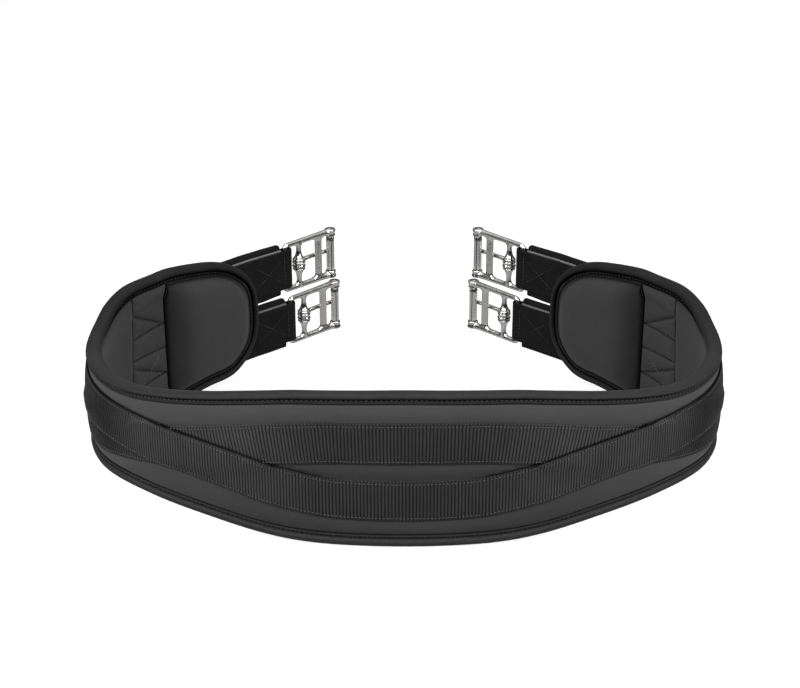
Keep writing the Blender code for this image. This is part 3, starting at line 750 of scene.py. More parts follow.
def sheet(name, outline, inset, face_of, back, pitch, mat, shade_of=None):
    """A closed sheet with a shaped face and a flat back at y = back, over the whole girth.

    Its columns lie at fixed distances from the edge near it, and evenly in between."""
    x, half = (np.concatenate([sign * side[:0:-1], side])
               for sign, side in zip((-1, 1), outline))
    near = EDGE_COLUMNS
    near = near[near >= inset] - inset
    near = np.concatenate([[0.0], near[near > 0.3]])
    inner = max(8, int(round(2 * (50.0 - 18.0) / pitch)))
    share = np.linspace(-1, 1, inner + 2)[1:-1]
    half = np.maximum(half, 0.02)
    squeeze = np.minimum(1.0, half / (near[-1] * 1.25))
    top = half[:, None] - near[None, :] * squeeze[:, None]
    core = top[:, -1:] * -share[None, :]
    columns = np.concatenate([top, core, -top[:, ::-1]], 1)
    face_x = np.repeat(x[:, None], columns.shape[1], 1)
    face_z = middle(face_x) + columns
    back_x = np.repeat(x[:, None], 5, 1)
    back_z = middle(back_x) + half[:, None] * np.linspace(-1, 1, 5)[None, :]
    rings = np.concatenate([place(face_x, face_of(face_x, face_z), face_z),
                            place(back_x, back, back_z)], 1)
    obj = tube_mesh(name, rings, mat)
    if shade_of:
        mark(obj, "deep", np.concatenate([shade_of(face_x, face_z), np.zeros_like(back_x)], 1))
    return obj


cloth_outline = stations(2.0, CLOTH_INSET)
piece(sheet("outer_cover_cloth", cloth_outline, CLOTH_INSET, cover_face, back=1.9,
            pitch=1.3, mat=NEOPRENE, shade_of=cover_shade),
      "root", "outer_neoprene", "outer_cover")
piece(sheet("inner_lining_cloth", cloth_outline, CLOTH_INSET, lining_face, back=-1.9,
            pitch=1.8, mat=LINING, shade_of=lining_shade),
      "root", "lining_neoprene", "inner_lining")
piece(sheet("foam_core_sheet", stations(8.0, FOAM_INSET, 14), FOAM_INSET,
            lambda x, z: FOAM_FACE, back=-FOAM_FACE, pitch=8.0, mat=FOAM),
      "root", "foam", "foam_core")

# ---------------------------------------------------------------- the binding
STITCH = 3.2             # pitch of the binding's seam
STITCH_STEPS = 4
SEAM_DEPTH = 7.2
# shown side of the section, crown to leaf's end: (depth in from the edge, y)
SHOWN_SECTION = [
    (0.0, 0.0), (0.06, 1.1), (0.42, 2.6), (1.15, 4.0), (2.2, 5.05), (3.5, 5.6), (4.7, 5.55),
    (5.7, 5.1), (6.35, 4.4), (6.75, 3.5), (SEAM_DEPTH - 0.05, FACE - 0.75), (7.5, FACE - 0.35),
    (7.95, FACE + 0.35), (8.5, FACE + 0.62), (9.1, FACE + 0.55), (9.5, FACE + 0.2),
    (LEAF, FACE - 0.35)]
# hidden side, leaf's end to inner crown
HIDDEN_SECTION = [(9.2, FACE - 0.75), (5.0, FACE - 1.1), (2.6, FACE - 1.2), (1.6, 0.0)]


def edge_loop(step):
    """The girth's outline as an even closed loop of (x, z), its inward normals and length."""
    x, half = stations(4.0, 0.0, 60)
    top = np.stack([x, middle(x) + half], -1)
    bottom = np.stack([x, middle(x) - half], -1)
    right = np.concatenate([top, bottom[::-1]])
    left = right[::-1] * np.array([-1, 1])
    loop = np.concatenate([right, left[1:-1]])
    apart = np.linalg.norm(np.diff(loop, axis=0), axis=1) > 1e-6
    loop = loop[np.concatenate([[True], apart])]
    closed = np.concatenate([loop, loop[:1]])
    lengths = lengths_along(closed)
    count = int(round(lengths[-1] / step))
    points = sample(closed, lengths, np.arange(count) * lengths[-1] / count)
    # smooth the corners a little so that the tape turns evenly
    for _ in range(int(6 / step)):
        points = 0.25 * np.roll(points, 1, 0) + 0.5 * points + 0.25 * np.roll(points, -1, 0)
    tangent = unit(np.roll(points, -1, 0) - np.roll(points, 1, 0))
    return points, np.stack([tangent[:, 1], -tangent[:, 0]], -1), lengths[-1]


def leaf_depth(depth, outer, pull):
    """Depth of a section point; the outer leaf is drawn up toward the edge by pull."""
    if not outer:
        return depth
    drawn = (depth * 4.5 / SEAM_DEPTH if depth <= SEAM_DEPTH
             else 4.5 + (depth - SEAM_DEPTH) * 1.28)
    return depth * (1 - pull) + drawn * pull


def make_binding():
    loop, inward, loop_length = edge_loop(STITCH / STITCH_STEPS)
    count = len(loop)
    phase = np.arange(count) * (2 * math.pi / STITCH_STEPS)
    along = np.arange(count) * loop_length / count
    loop_x, loop_z = loop.T
    pull = upper_front(loop_x, loop_z)
    pressed = ease(np.abs(loop_x), 432, 446)
    soft = 0.22 * noise1(along, 5, 19.0) + 0.12 * noise1(along, 6, 7.0)

    def at(depth, y):
        return place(loop_x + inward[:, 0] * depth, y, loop_z + inward[:, 1] * depth)

    # the C section as (depth, y, shown), from the crown round the outer and inner leaves
    section = ([(depth, y, 1) for depth, y in SHOWN_SECTION]
               + [(depth, y, 0) for depth, y in HIDDEN_SECTION]
               + [(depth, -y, 0) for depth, y in HIDDEN_SECTION[-2::-1]]
               + [(depth, -y, 1) for depth, y in SHOWN_SECTION[:0:-1]])
    rings = []
    for depth, y, shown in section:
        near_seam = shown * bell(depth, SEAM_DEPTH, 1.0)
        roll = shown * bell(depth, 3.9, 2.3)
        pucker = shown * (bell(depth, 5.9, 0.9) + 0.5 * bell(depth, 8.5, 0.6))
        side = 1 if y >= 0 else -1
        moved = y + side * (-(0.22 * near_seam + 0.09 * pucker) * np.cos(phase)
                            + soft * roll * 0.8)
        if y > 0:
            moved = moved - 1.25 * roll * pressed
        drawn = leaf_depth(depth, y > 0, pull) - 0.10 * roll * np.cos(phase * 0.5 + 1.0)
        rings.append(at(np.maximum(drawn, 0.0), moved))
    binding = tube_mesh("edge_binding_tape", np.stack(rings, 1), BINDING, close_rows=True)

    # painted shade: in the seam's groove and past the leaf's end, under the roll where it hangs
    # over its seam along the upper edges, and more over the upper edges and the wings
    hangs = 0.5 * (1 - inward[:, 1:2])
    depths, y, shown = np.array(section).T
    painted_groove_shade = (bell(depths, SEAM_DEPTH, np.where(y < 0, 1.1, 0.6)) + 0.75 * (depths > 9.3)) * shown
    painted_overhang_shade = 0.72 * ease(depths, 3.0, 6.9) * (depths < 7.2) * shown
    painted_wing_shade = 0.20 * hangs + 0.30 * ease(np.abs(loop[:, :1]), 240, 320)
    mark(binding, "deep", painted_groove_shade[None, :] * (0.9 + 0.1 * np.cos(phase))[:, None]
         + painted_overhang_shade[None, :] * hangs + painted_wing_shade)
    piece(binding, "root", "binding_tape", "edge_binding")

    # one black thread shows on both faces of the seam: painted highlight on the outer stitches,
    # painted shade on the inner ones
    for side, where, mat in ((1, "outer", THREAD_BIND), (-1, "inner", THREAD_DARK)):
        seam = stitches(at(leaf_depth(SEAM_DEPTH + 0.42, side > 0, pull), side * (FACE - 0.22)),
                        outward(loop_x) * side, pitch=STITCH, length=2.1, radius=0.26,
                        closed=True)
        piece(join_parts("binding_" + where + "_stitches", [seam], mat), "root", "binding_tape")


make_binding()

# ---------------------------------------------------------------- the webbing bands
RIB = 2.25
WEB_THICK = 1.45
WEB_SEAM = 12.5          # the sewn rows lie this far from a band's centre line
WEB_BARS = (WEB_END - 3.0, WEB_END - 30.0)   # stitched bars over the elastics' roots


def band_path(centre, step):
    """Even (x, z) samples along a band's centre line, unit directions and lengths."""
    x = np.arange(-WEB_END, WEB_END + 0.01, 1.0)
    line = np.stack([x, centre(x)], -1)
    lengths = lengths_along(line)
    at = np.linspace(0, lengths[-1], int(round(lengths[-1] / step)) + 1)
    points = sample(line, lengths, at)
    average = np.ones(9) / 9
    direction = [np.convolve(np.pad(column, 4, mode="edge"), average, "valid")
                 for column in np.gradient(points, axis=0).T]
    return points, unit(np.stack(direction, -1)), at


def upright_path(centre, per_rib):
    """The same for a band whose ribs stand upright, with ribs closer set at the bends."""
    x = np.arange(-WEB_END, WEB_END + 0.01, 0.25)
    far = np.abs(x)
    pitch = 2.24 - 0.33 * ease(far, 40, 105) + 0.14 * ease(far, 165, 210)
    steps = 0.5 * (1 / pitch[1:] + 1 / pitch[:-1]) * np.diff(x)
    ribs = np.concatenate([[0], np.cumsum(steps)])
    at = np.linspace(0, ribs[-1], int(round(ribs[-1] * per_rib)) + 1)
    x = np.interp(at, ribs, x)
    slope = (centre(x + 2) - centre(x - 2)) / 4.0
    direction = np.stack([np.ones_like(slope), slope], -1) / np.sqrt(1 + slope ** 2)[:, None]
    return np.stack([x, centre(x)], -1), direction, at * RIB


def under_base(x, z):
    """y that the under band lies on; both bands ride up onto the elastics' roots."""
    return FACE - 0.1 + 2.3 * ease(np.abs(x), 318, 337)


def over_base(x, z):
    """The over band lies on the cover, and on the under band where they cross."""
    on_under = ease(web_depth(x, z, band_under), -2.6, 0.4) * fade(np.abs(x), 296, 322)
    return under_base(x, z) + (WEB_THICK + 0.12) * on_under


def make_band(word, centre, base_of, seed, upright=False):
    per_rib = 8
    points, direction, along = (upright_path(centre, per_rib) if upright
                                else band_path(centre, RIB / per_rib))
    rows = len(points)
    edge_at = np.array([15.0, 14.75, 14.1, 13.2, 12.5, 11.8])
    inside = np.linspace(-10.8, 10.8, 7 if upright else 24)
    across = np.concatenate([-edge_at, inside, edge_at[::-1]])
    out = np.abs(across)
    side = np.stack([-direction[:, 1], direction[:, 0]], -1)
    if upright:
        side = np.stack([np.zeros(rows), 1 / direction[:, 0]], -1)

    def beside(offset):
        """(x, z) grids offset across the band."""
        return (points[:, i:i + 1] + side[:, i:i + 1] * offset for i in range(2))

    # ribs: round ridges with sharp valleys, flatter at the woven edge, pinched at the sewn rows
    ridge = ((np.abs(np.sin(math.pi * along / RIB)) ** 0.8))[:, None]
    body = (1 - 0.75 * ease(out, 13.2, 14.8))[None, :]
    pinch = bell(out, WEB_SEAM, 0.55)[None, :]
    by_stitch = (0.5 + 0.5 * np.cos(2 * math.pi * along / 2.6))[:, None]
    calm = 1 - 0.6 * ease(np.abs(points[:, 0:1]), 185, 235)
    top = WEB_THICK - 0.65 + 0.65 * (1 - (1 - ridge) * calm) * body
    top = top - 0.30 * pinch * (0.55 + 0.45 * by_stitch)
    top = top * (0.45 + 0.55 * quarter_round((WEB_HALF - out) / 0.9))[None, :]
    crown = 0.35 * (1 - (across / WEB_HALF) ** 2)
    wobble = 0.14 * noise1(along, seed, 30.0)
    x, z = beside(across[None, :] + wobble[:, None] * np.sign(across))
    back_x, back_z = beside(np.linspace(WEB_HALF, -WEB_HALF, 5)[None, :] * 0.995)
    rings = np.concatenate([place(x, base_of(x, z) + top + crown[None, :], z),
                            place(back_x, base_of(back_x, back_z) + 0.02, back_z)], 1)
    node = word + "_webbing"
    band = tube_mesh(node + "_band", rings, WEBBING)

    # painted light and shade: lit ridges, dark valleys and sewn rows; the band darker in the
    # middle, darkest round the side bends, less dark on the wings
    far = np.abs(x)
    tone = ridge * body + 0.35 * (1 - body) - 0.5 * pinch * (0.5 + 0.5 * by_stitch)
    tone = tone * ((0.66 + 0.34 * ease(far, 45, 105))
                   * (1 - 0.74 * ease(far, 172, 222) * (1 - 0.6 * ease(far, 270, 315))))
    mark(band, "rib", np.concatenate([tone, np.full((rows, 5), 0.5)], 1), rest=0.5)
    # painted shadow along the over band's upper edge: on that edge itself, and on the under band
    # beside it
    shade = (0.9 * ease(across, 14.3, 14.8)[None, :] * stands_off(x) if upright
             else band_shadow(x, z))
    mark(band, "deep", np.concatenate([shade, np.zeros_like(back_x)], 1))
    piece(band, "root", "ribbed_webbing", node)

    parts = []
    for offset in (-WEB_SEAM, WEB_SEAM):
        x, z = (grid[:, 0] for grid in beside(offset))
        y = base_of(x, z) + WEB_THICK - 0.20 + 0.05 * noise1(along, seed + 9, 2.0)
        parts.append(stitches(place(x, y, z), outward(x), pitch=2.6, length=1.6, radius=0.27,
                              lift=0.05))

    def sew_end(x, z, rise):
        y = base_of(x, z) + WEB_THICK + rise
        parts.append(stitches(place(x, y, z), outward(x), pitch=3.2, length=2.4, radius=0.28,
                              lift=0.02))

    # a bar across each end of the elastic's root, and a cross between the bars
    for sign in (-1, 1):
        for bar in WEB_BARS:
            i = int(np.argmin(np.abs(points[:, 0] - sign * bar)))
            offset = np.linspace(-WEB_SEAM, WEB_SEAM, 24)
            sew_end(points[i, 0] + side[i, 0] * offset, points[i, 1] + side[i, 1] * offset, 0.28)
        for corner in (-12.0, 12.0):
            x = sign * np.linspace(*WEB_BARS, 40)
            sew_end(x, centre(x) + np.linspace(corner, -corner, 40), 0.30)
    piece(join_parts(node + "_band_stitches", parts, THREAD_WEB), "root", "ribbed_webbing")


make_band("upper", band_under, under_base, seed=2)
make_band("lower", band_over, over_base, seed=4, upright=True)

# ---------------------------------------------------------------- quilted patches on the inside
# stitched lines as (x, z) points
ZIGZAGS = [
    [(339.2, 29.6), (368.3, 15.6), (337.3, 11.0)],
    [(337.0, -6.0), (369.0, -3.6)],
    [(335.8, -11.5), (368.0, -24.6), (347.5, -28.4)],
]
FOLD = [(338.8, 33.7), (370.3, 41.0)]
# a row of stitches across the lower fold, in black thread painted grey as highlight
TACK = [(363.4, -7.1), (355.5, -14.9), (348.6, -22.5)]
PATCH_END = PAD_START + 5.0
PATCH_INSET = 9.0


def pad_edge(z):
    """x of the pad's free edge, which curls toward the wing's end at its upper corner."""
    return PAD_START + 3.2 * ease(z, 35, 46)


def polyline_distance(x, z, lines):
    best = np.full(x.shape, 1e3)
    for line in lines:
        for (x0, z0), (x1, z1) in zip(line, line[1:]):
            run, rise = x1 - x0, z1 - z0
            share = ((x - x0) * run + (z - z0) * rise) / (run * run + rise * rise)
            share = np.clip(share, 0, 1)
            best = np.minimum(best, np.hypot(x - x0 - share * run, z - z0 - share * rise))
    return best


def make_patch(side, word):
    rows, cols = ((72, 170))
    straight = np.linspace(PATCH_START, PATCH_END, rows)
    x = np.repeat(straight[:, None], cols, 1)
    half = rounded_half(x) - PATCH_INSET
    z = middle(x) + half * np.linspace(-1, 1, cols)[None, :]
    # its free edge leans: further toward the pad at the top
    x = x + PATCH_LEAN * (z - middle(x)) * (PATCH_END - x) / (PATCH_END - PATCH_START)
    up = z - middle(x)
    seam = polyline_distance(x, z, ZIGZAGS)
    border = np.minimum((x - PATCH_START - PATCH_LEAN * up) * 0.8, half - np.abs(up) + 0.6)
    quilt = np.minimum(puff(seam, 2.2, 2.2), puff(border + 0.35, 2.5, 2.4))
    # a soft fold runs up from the patch's edge to the pad's top corner
    (x0, z0), (x1, z1) = FOLD
    off_fold = z - (z0 + (z1 - z0) * (x - x0) / (x1 - x0))
    quilt = quilt + 0.55 * bell(off_fold, 0, 2.2) - 0.45 * bell(off_fold, -4.2, 2.6)
    quilt = quilt + 0.28 * noise2(x, z, 11 + side, 9.0) * ease(seam, 0.5, 3.0)
    quilt = np.where(border < 0.3, np.minimum(quilt, 0.35), quilt)
    to_pad = pad_edge(up) - x
    quilt = np.minimum(quilt, puff(to_pad + 0.4, 2.6, 1.9))
    back_x = np.repeat(straight[:, None], 5, 1)
    back_z = middle(back_x) + (rounded_half(back_x) - PATCH_INSET) * np.linspace(1, -1, 5)
    rings = np.concatenate([place(side * x, -(FACE - 0.10 + quilt), z),
                            place(side * back_x, -(FACE - 1.0), back_z)], 1)
    patch = tube_mesh(word + "_quilted_patch", rings, PATCH)
    # painted shade in the quilting's seams, along the patch's border and beside the pad's free
    # edge
    painted_shade_values = np.maximum(0.95 * bell(seam, 0, 0.7), 0.75 * fade(border, 0.0, 1.1))
    painted_shade_values = np.maximum(painted_shade_values, fade(to_pad, -0.2, 1.6))
    mark(patch, "deep", np.concatenate([painted_shade_values, np.zeros_like(back_x)], 1))
    piece(patch, "root", "lining_neoprene", word + "_stitched_patch")

    def sew(line, rise, length, radius):
        """Stitches along a line; rise is their height at its ends and in between."""
        line = np.array(line)
        lengths = lengths_along(line)
        at = np.arange(0, lengths[-1], 0.8)
        x, z = sample(line, lengths, at).T
        low, high = rise
        stops = [0, 3, lengths[-1] - 3, lengths[-1]]
        y = -(FACE + np.interp(at, stops, [low, high, high, low]))
        return stitches(place(side * x, y, z), -outward(side * x), pitch=2.7, length=length,
                        radius=radius, lift=0.05)

    tack = [sew(TACK, rise=(0.4, 1.9), length=2.2, radius=0.24)]
    piece(join_parts(word + "_tacking_stitches", tack, THREAD), "root", "lining_neoprene")
    quilting = [sew(line, rise=(0.02, 0.02), length=1.9, radius=0.26) for line in ZIGZAGS]
    piece(join_parts(word + "_quilting_stitches", quilting, THREAD_QUILT),
          "root", "lining_neoprene")


for side, word in ((-1, "left"), (1, "right")):
    make_patch(side, word)

# ---------------------------------------------------------------- end pads
# Sewn cushions on the inside of the wings, inflated by cloth simulation.
PAD_RISE = 7.2
PAD_INSET = 10.2
PAD_SEAM_Y = -(FACE + 0.05)
PAD_BACK_Y = -(FACE - 0.9)
PAD_SPOKES = 96
PAD_RINGS = [1.0, 0.985, 0.955, 0.91, 0.85, 0.77, 0.67, 0.55, 0.42, 0.28, 0.14]
PAD_BACK_RINGS = (0.985, 0.6, 0.2)
# PAD_SHADES is the painted shade of the outermost rings, along the seam
PAD_SHADES = (1.0, 0.75, 0.22, 0.05)     # of the outermost rings
PAD_SWELL = 3.2          # most that the simulation may move a point


def pad_outline():
    """The pad's D outline in (x, z): along the binding's seam, round the end, free edge."""
    turn = np.sin(np.linspace(0, 1, 22) * math.pi / 2)
    x = np.concatenate([np.linspace(PAD_START, ROUND_START, 16)[:-1],
                        ROUND_START + (PAD_END - ROUND_START) * turn])
    half = (half_height(x) - PAD_INSET) * end_round(x, PAD_END)
    upper = np.stack([x, middle(x) + half], -1)
    lower = np.stack([x, middle(x) - half], -1)[::-1]
    free_z = np.linspace(lower[-1, 1], upper[0, 1], 22)[1:-1]
    free = np.stack([np.full(20, PAD_START), free_z], -1)
    closed = np.concatenate([upper, lower[1:], free, upper[:1]])
    lengths = lengths_along(closed)
    loop = sample(closed, lengths, np.arange(PAD_SPOKES) * lengths[-1] / PAD_SPOKES)
    loop[:, 0] = np.maximum(loop[:, 0], pad_edge(loop[:, 1] - middle(loop[:, 0])))
    return loop


def pad_rise(x, z, share):
    """Rise of the pad over its seam: blunt at the free edge, a long crown elsewhere."""
    free = x - PAD_START
    round_side = 1 - math.exp(-(1 - share) / 0.115)
    crown = 0.80 + 0.20 * np.sin(np.clip(free / (PAD_END - PAD_START), 0, 1) * math.pi)
    near_free = fade(free, 0, 14)
    rise = (PAD_RISE * round_side * crown * (1 - near_free)
            + PAD_RISE * quarter_round(free / 5.0) * 0.86 * near_free)
    to_edge = np.clip(np.abs(z - middle(x)) / (half_height(x) - PAD_INSET), 0, 1)
    rise = np.minimum(rise, PAD_RISE * np.sqrt(np.clip(1 - to_edge ** 7, 0, 1)))
    return np.maximum(rise, 0.0 if share == 1.0 else 0.25)


def make_pad(side, word):
    """The cushion before simulation: a domed face of rings and spokes, and a flat back."""
    loop = pad_outline()
    centre = np.array([0.5 * (loop[:, 0].min() + loop[:, 0].max()), loop[:, 1].mean()])
    rows, painted_shade_values = [], []
    for k, share in enumerate(PAD_RINGS):
        x, z = (centre + (loop - centre) * share).T
        rows.append(place(side * x, PAD_SEAM_Y - pad_rise(x, z, share), z))
        # painted shade: in the seam, and darker toward the free edge, fading out over 32 mm
        at_seam = PAD_SHADES[k] if k < len(PAD_SHADES) else 0.0
        painted_shade_values.append(np.maximum(at_seam, 0.55 * fade(x - PAD_START, 2.0, 32.0)))
    rows.append(place(side * centre[0], PAD_SEAM_Y - PAD_RISE, centre[1])[None])
    for share in PAD_BACK_RINGS:
        x, z = (centre + (loop - centre) * share).T
        rows.append(place(side * x, PAD_BACK_Y, z))
    rows.append(place(side * centre[0], PAD_BACK_Y, centre[1])[None])
    spoke = np.arange(PAD_SPOKES)
    after = (spoke + 1) % PAD_SPOKES
    apex = len(PAD_RINGS) * PAD_SPOKES
    back = apex + 1
    back_apex = back + len(PAD_BACK_RINGS) * PAD_SPOKES
    quads = np.concatenate([
        grid_faces(len(PAD_RINGS), PAD_SPOKES),
        np.stack([spoke, after, back + after, back + spoke], -1),
        grid_faces(len(PAD_BACK_RINGS), PAD_SPOKES, start=back)])
    tris = np.concatenate([
        np.stack([np.full(PAD_SPOKES, tip), tip - PAD_SPOKES + first,
                  tip - PAD_SPOKES + second], -1)
        for tip, first, second in ((apex, spoke, after), (back_apex, after, spoke))])
    pad = mesh_object(word + "_end_pad_cushion", np.concatenate(rows), [quads, tris], PAD)
    mark(pad, "deep", np.concatenate(painted_shade_values))
    agree_normals(pad)
    return turn_out(pad)


def inflate(pad):
    """Cloth simulation with pressure: the dome swells and wrinkles in its sewn outline."""
    rest = read_points(pad.data)
    group = pad.vertex_groups.new(name="sewn")
    back = len(PAD_RINGS) * PAD_SPOKES + 1
    group.add([*range(PAD_SPOKES), *range(back, len(rest))], 1.0, "REPLACE")
    group.add(list(range(PAD_SPOKES, 2 * PAD_SPOKES)), 0.6, "REPLACE")
    cloth = pad.modifiers.new("cloth", "CLOTH")
    settings = cloth.settings
    settings.quality = 6
    settings.mass = 0.25
    settings.tension_stiffness = 18
    settings.compression_stiffness = 12
    settings.shear_stiffness = 8
    settings.bending_stiffness = 1.2
    settings.use_pressure = True
    settings.uniform_pressure_force = 4.0
    settings.vertex_group_mass = "sewn"
    settings.effector_weights.gravity = 0.0
    cloth.collision_settings.use_collision = False
    cloth.point_cache.frame_start = 1
    cloth.point_cache.frame_end = 22
    scene = bpy.context.scene
    for frame_number in range(1, 21):
        scene.frame_set(frame_number)
    evaluated = pad.evaluated_get(bpy.context.evaluated_depsgraph_get())
    move = read_points(evaluated.to_mesh()) - rest
    evaluated.to_mesh_clear()
    pad.modifiers.clear()
    scene.frame_set(1)
    size = np.linalg.norm(move, axis=1, keepdims=True)
    write_points(pad.data, rest + move * np.minimum(1, PAD_SWELL * MM / np.maximum(size, 1e-9)))


for side, word in ((-1, "left"), (1, "right")):
    pad = make_pad(side, word)
    inflate(pad)
    subdivision = pad.modifiers.new("smooth", "SUBSURF")
    subdivision.levels = subdivision.render_levels = 2
    pad.vertex_groups.clear()
    piece(pad, "root", "pad_neoprene", word + "_end_pad_cover", word + "_end_pad_foam")

# ---------------------------------------------------------------- straps
JOINTS = {joint["name"]: joint for joint in frame["joints"]}
FLEX_X = 375.8           # girth x of the line where the straps flex
ELASTIC_HALF, ELASTIC_THICK = 22.0, 2.1
ELASTIC_RIB = 1.35
ELASTIC_END = -4.8       # strap x of the elastic's far end
LEATHER_HALF, LEATHER_THICK = 16.5, 1.5
FOLD_INSIDE = 2.3        # inner radius of the leather's fold
# how far beyond the strap bar's axis the fold's round lies
FOLD_REACH = {"upper": 2.4, "lower": 0.8}
CORE_Y = -1.33


class Strap:
    """One strap's own places: x along it from the strap bar, y outward, z up."""

    def __init__(self, name):
        self.name = name
        self.level = name.split("_")[1]
        self.side = -1 if name.startswith("left") else 1
        self.along = np.array(JOINTS[name + "_stretch"]["axis"], float)
        self.outward = np.array([self.side * self.along[1], -self.side * self.along[0], 0.0])
        bar = np.array(JOINTS[name + "_buckle_swing"]["pos_m"], float)
        low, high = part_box(name + "_buckle_frame")
        drop = 0.0005 if self.level == "lower" else 0.0
        self.bar = np.array([bar[0], bar[1], (low.z + high.z) / 2 - drop])

        def offset(joint, direction):
            position = np.array(JOINTS[name + joint]["pos_m"], float)
            return float((position - bar) @ direction) / MM

        self.flex_x = offset("_flex", self.along)
        self.elastic_y = offset("_flex", self.outward)
        self.pivot_x = offset("_tongue_swing", self.along)
        self.roller_x = offset("_roller_spin", self.along)

    def x_of(self, girth_x):
        return self.flex_x + girth_x - FLEX_X

    def over_wing(self, x):
        """How far out the strap is lifted, as it rides over the wing's bound end."""
        end = self.flex_x + WING_END - FLEX_X
        return (2.3 * np.clip((x + 5.0) / (end + 5.0), 0, 1)
                * ease(x, self.flex_x, self.flex_x + 55.0))

    def at(self, x, y, z):
        """World points in metres."""
        x, y, z = np.broadcast_arrays(*(np.asarray(v, float) for v in (x, y, z)))
        y = y + np.where(x < 0, self.over_wing(x), 0.0)
        return self.bar + (x[..., None] * self.along + y[..., None] * self.outward
                           + z[..., None] * np.array([0, 0, 1.0])) * MM


def rounded_section(half, thick, radius, steps):
    """Closed cross section (z, y) of a flat strap with rounded edges."""
    points = []
    corners = ((1, 1), (-1, 1), (-1, -1), (1, -1))
    for k, (z_side, y_side) in enumerate(corners):
        for i in range(steps + 1):
            angle = math.radians(90 * k + 90 * i / steps)
            points.append((z_side * (half - radius) + radius * math.cos(angle),
                           y_side * (thick / 2 - radius) + radius * math.sin(angle)))
    return np.array(points)


def strap_elastic(strap):
    """Woven elastic: fine cords along it, gathered ribs across, rounded far end."""
    x = np.arange(strap.flex_x - 0.8, ELASTIC_END + 1e-6, ELASTIC_RIB / (4))
    share = np.concatenate([[-1.0, -0.985, -0.95], np.linspace(-0.9, 0.9, 25),
                            [0.95, 0.985, 1.0]])
    to_end = ELASTIC_END - x
    ragged = 0.12 * noise1(x, 3 + len(strap.name), 11.0)
    half_up, half_low = (ELASTIC_HALF - radius * (1 - quarter_round(to_end / radius)) + ragged
                         for radius in (4.2, 1.4))
    if strap.level == "upper":
        half_low = half_low + 1.2 * ease(-x, 4, 26)
    z = np.where(share[None, :] > 0, half_up[:, None], half_low[:, None]) * share[None, :]
    cords = 0.10 * np.abs(np.sin(np.arange(len(share)) * math.pi / 2))[None, :]
    ribs = 0.11 * np.cos(2 * math.pi * x / ELASTIC_RIB)[:, None]
    edge = quarter_round((1 - np.abs(share)) / 0.05)[None, :]
    end = quarter_round(to_end / 0.9)[:, None]
    thick = (ELASTIC_THICK / 2 - 0.12 + cords + ribs) * (0.25 + 0.75 * edge) * (0.3 + 0.7 * end)
    x = np.repeat(x[:, None], len(share), 1)
    rings = np.concatenate([strap.at(x, strap.elastic_y + thick, z),
                            strap.at(x, strap.elastic_y - thick, z)[:, ::-1]], 1)
    obj = tube_mesh(strap.name + "_elastic_strap", rings, ELASTIC)
    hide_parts(strap.name + "_elastic")
    tuple(strap.at(strap.flex_x + 3.0, strap.elastic_y, 0.0))
    tuple(strap.at(-6.0, strap.elastic_y, 0.0))
    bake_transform(obj)


def strap_root(strap):
    """The sewn-down root of the elastic, under the webbing's end."""
    x = np.append(np.arange(343.0, 376.2, 0.7), 376.6)
    share = np.linspace(-1, 1, 31)
    centre = (1 if strap.level == "upper" else -1) * 23.1 + middle(x)
    toward_strap = ease(x, 366, 377)
    centre = centre * (1 - toward_strap) + (strap.bar[2] / MM - ORIGIN_Z) * toward_strap
    z = centre[:, None] + ELASTIC_HALF * share[None, :]
    edge = quarter_round((1 - np.abs(share)) / 0.04)[None, :]
    base = FACE - 0.1 + 1.6 * ease(x, 368, 377)[:, None]
    ribs = 0.1 * np.cos(2 * math.pi * x / ELASTIC_RIB)[:, None]
    x = strap.side * np.repeat(x[:, None], 31, 1)
    rings = np.concatenate([place(x, base + 0.5 + (1.55 + ribs) * (0.3 + 0.7 * edge), z),
                            place(x, base + 0.02 + 0.4 * (1 - edge), z)[:, ::-1]], 1)
    piece(tube_mesh(strap.name + "_elastic_anchor", rings, ELASTIC), "root", "elastic",
          strap.name + "_elastic_root")


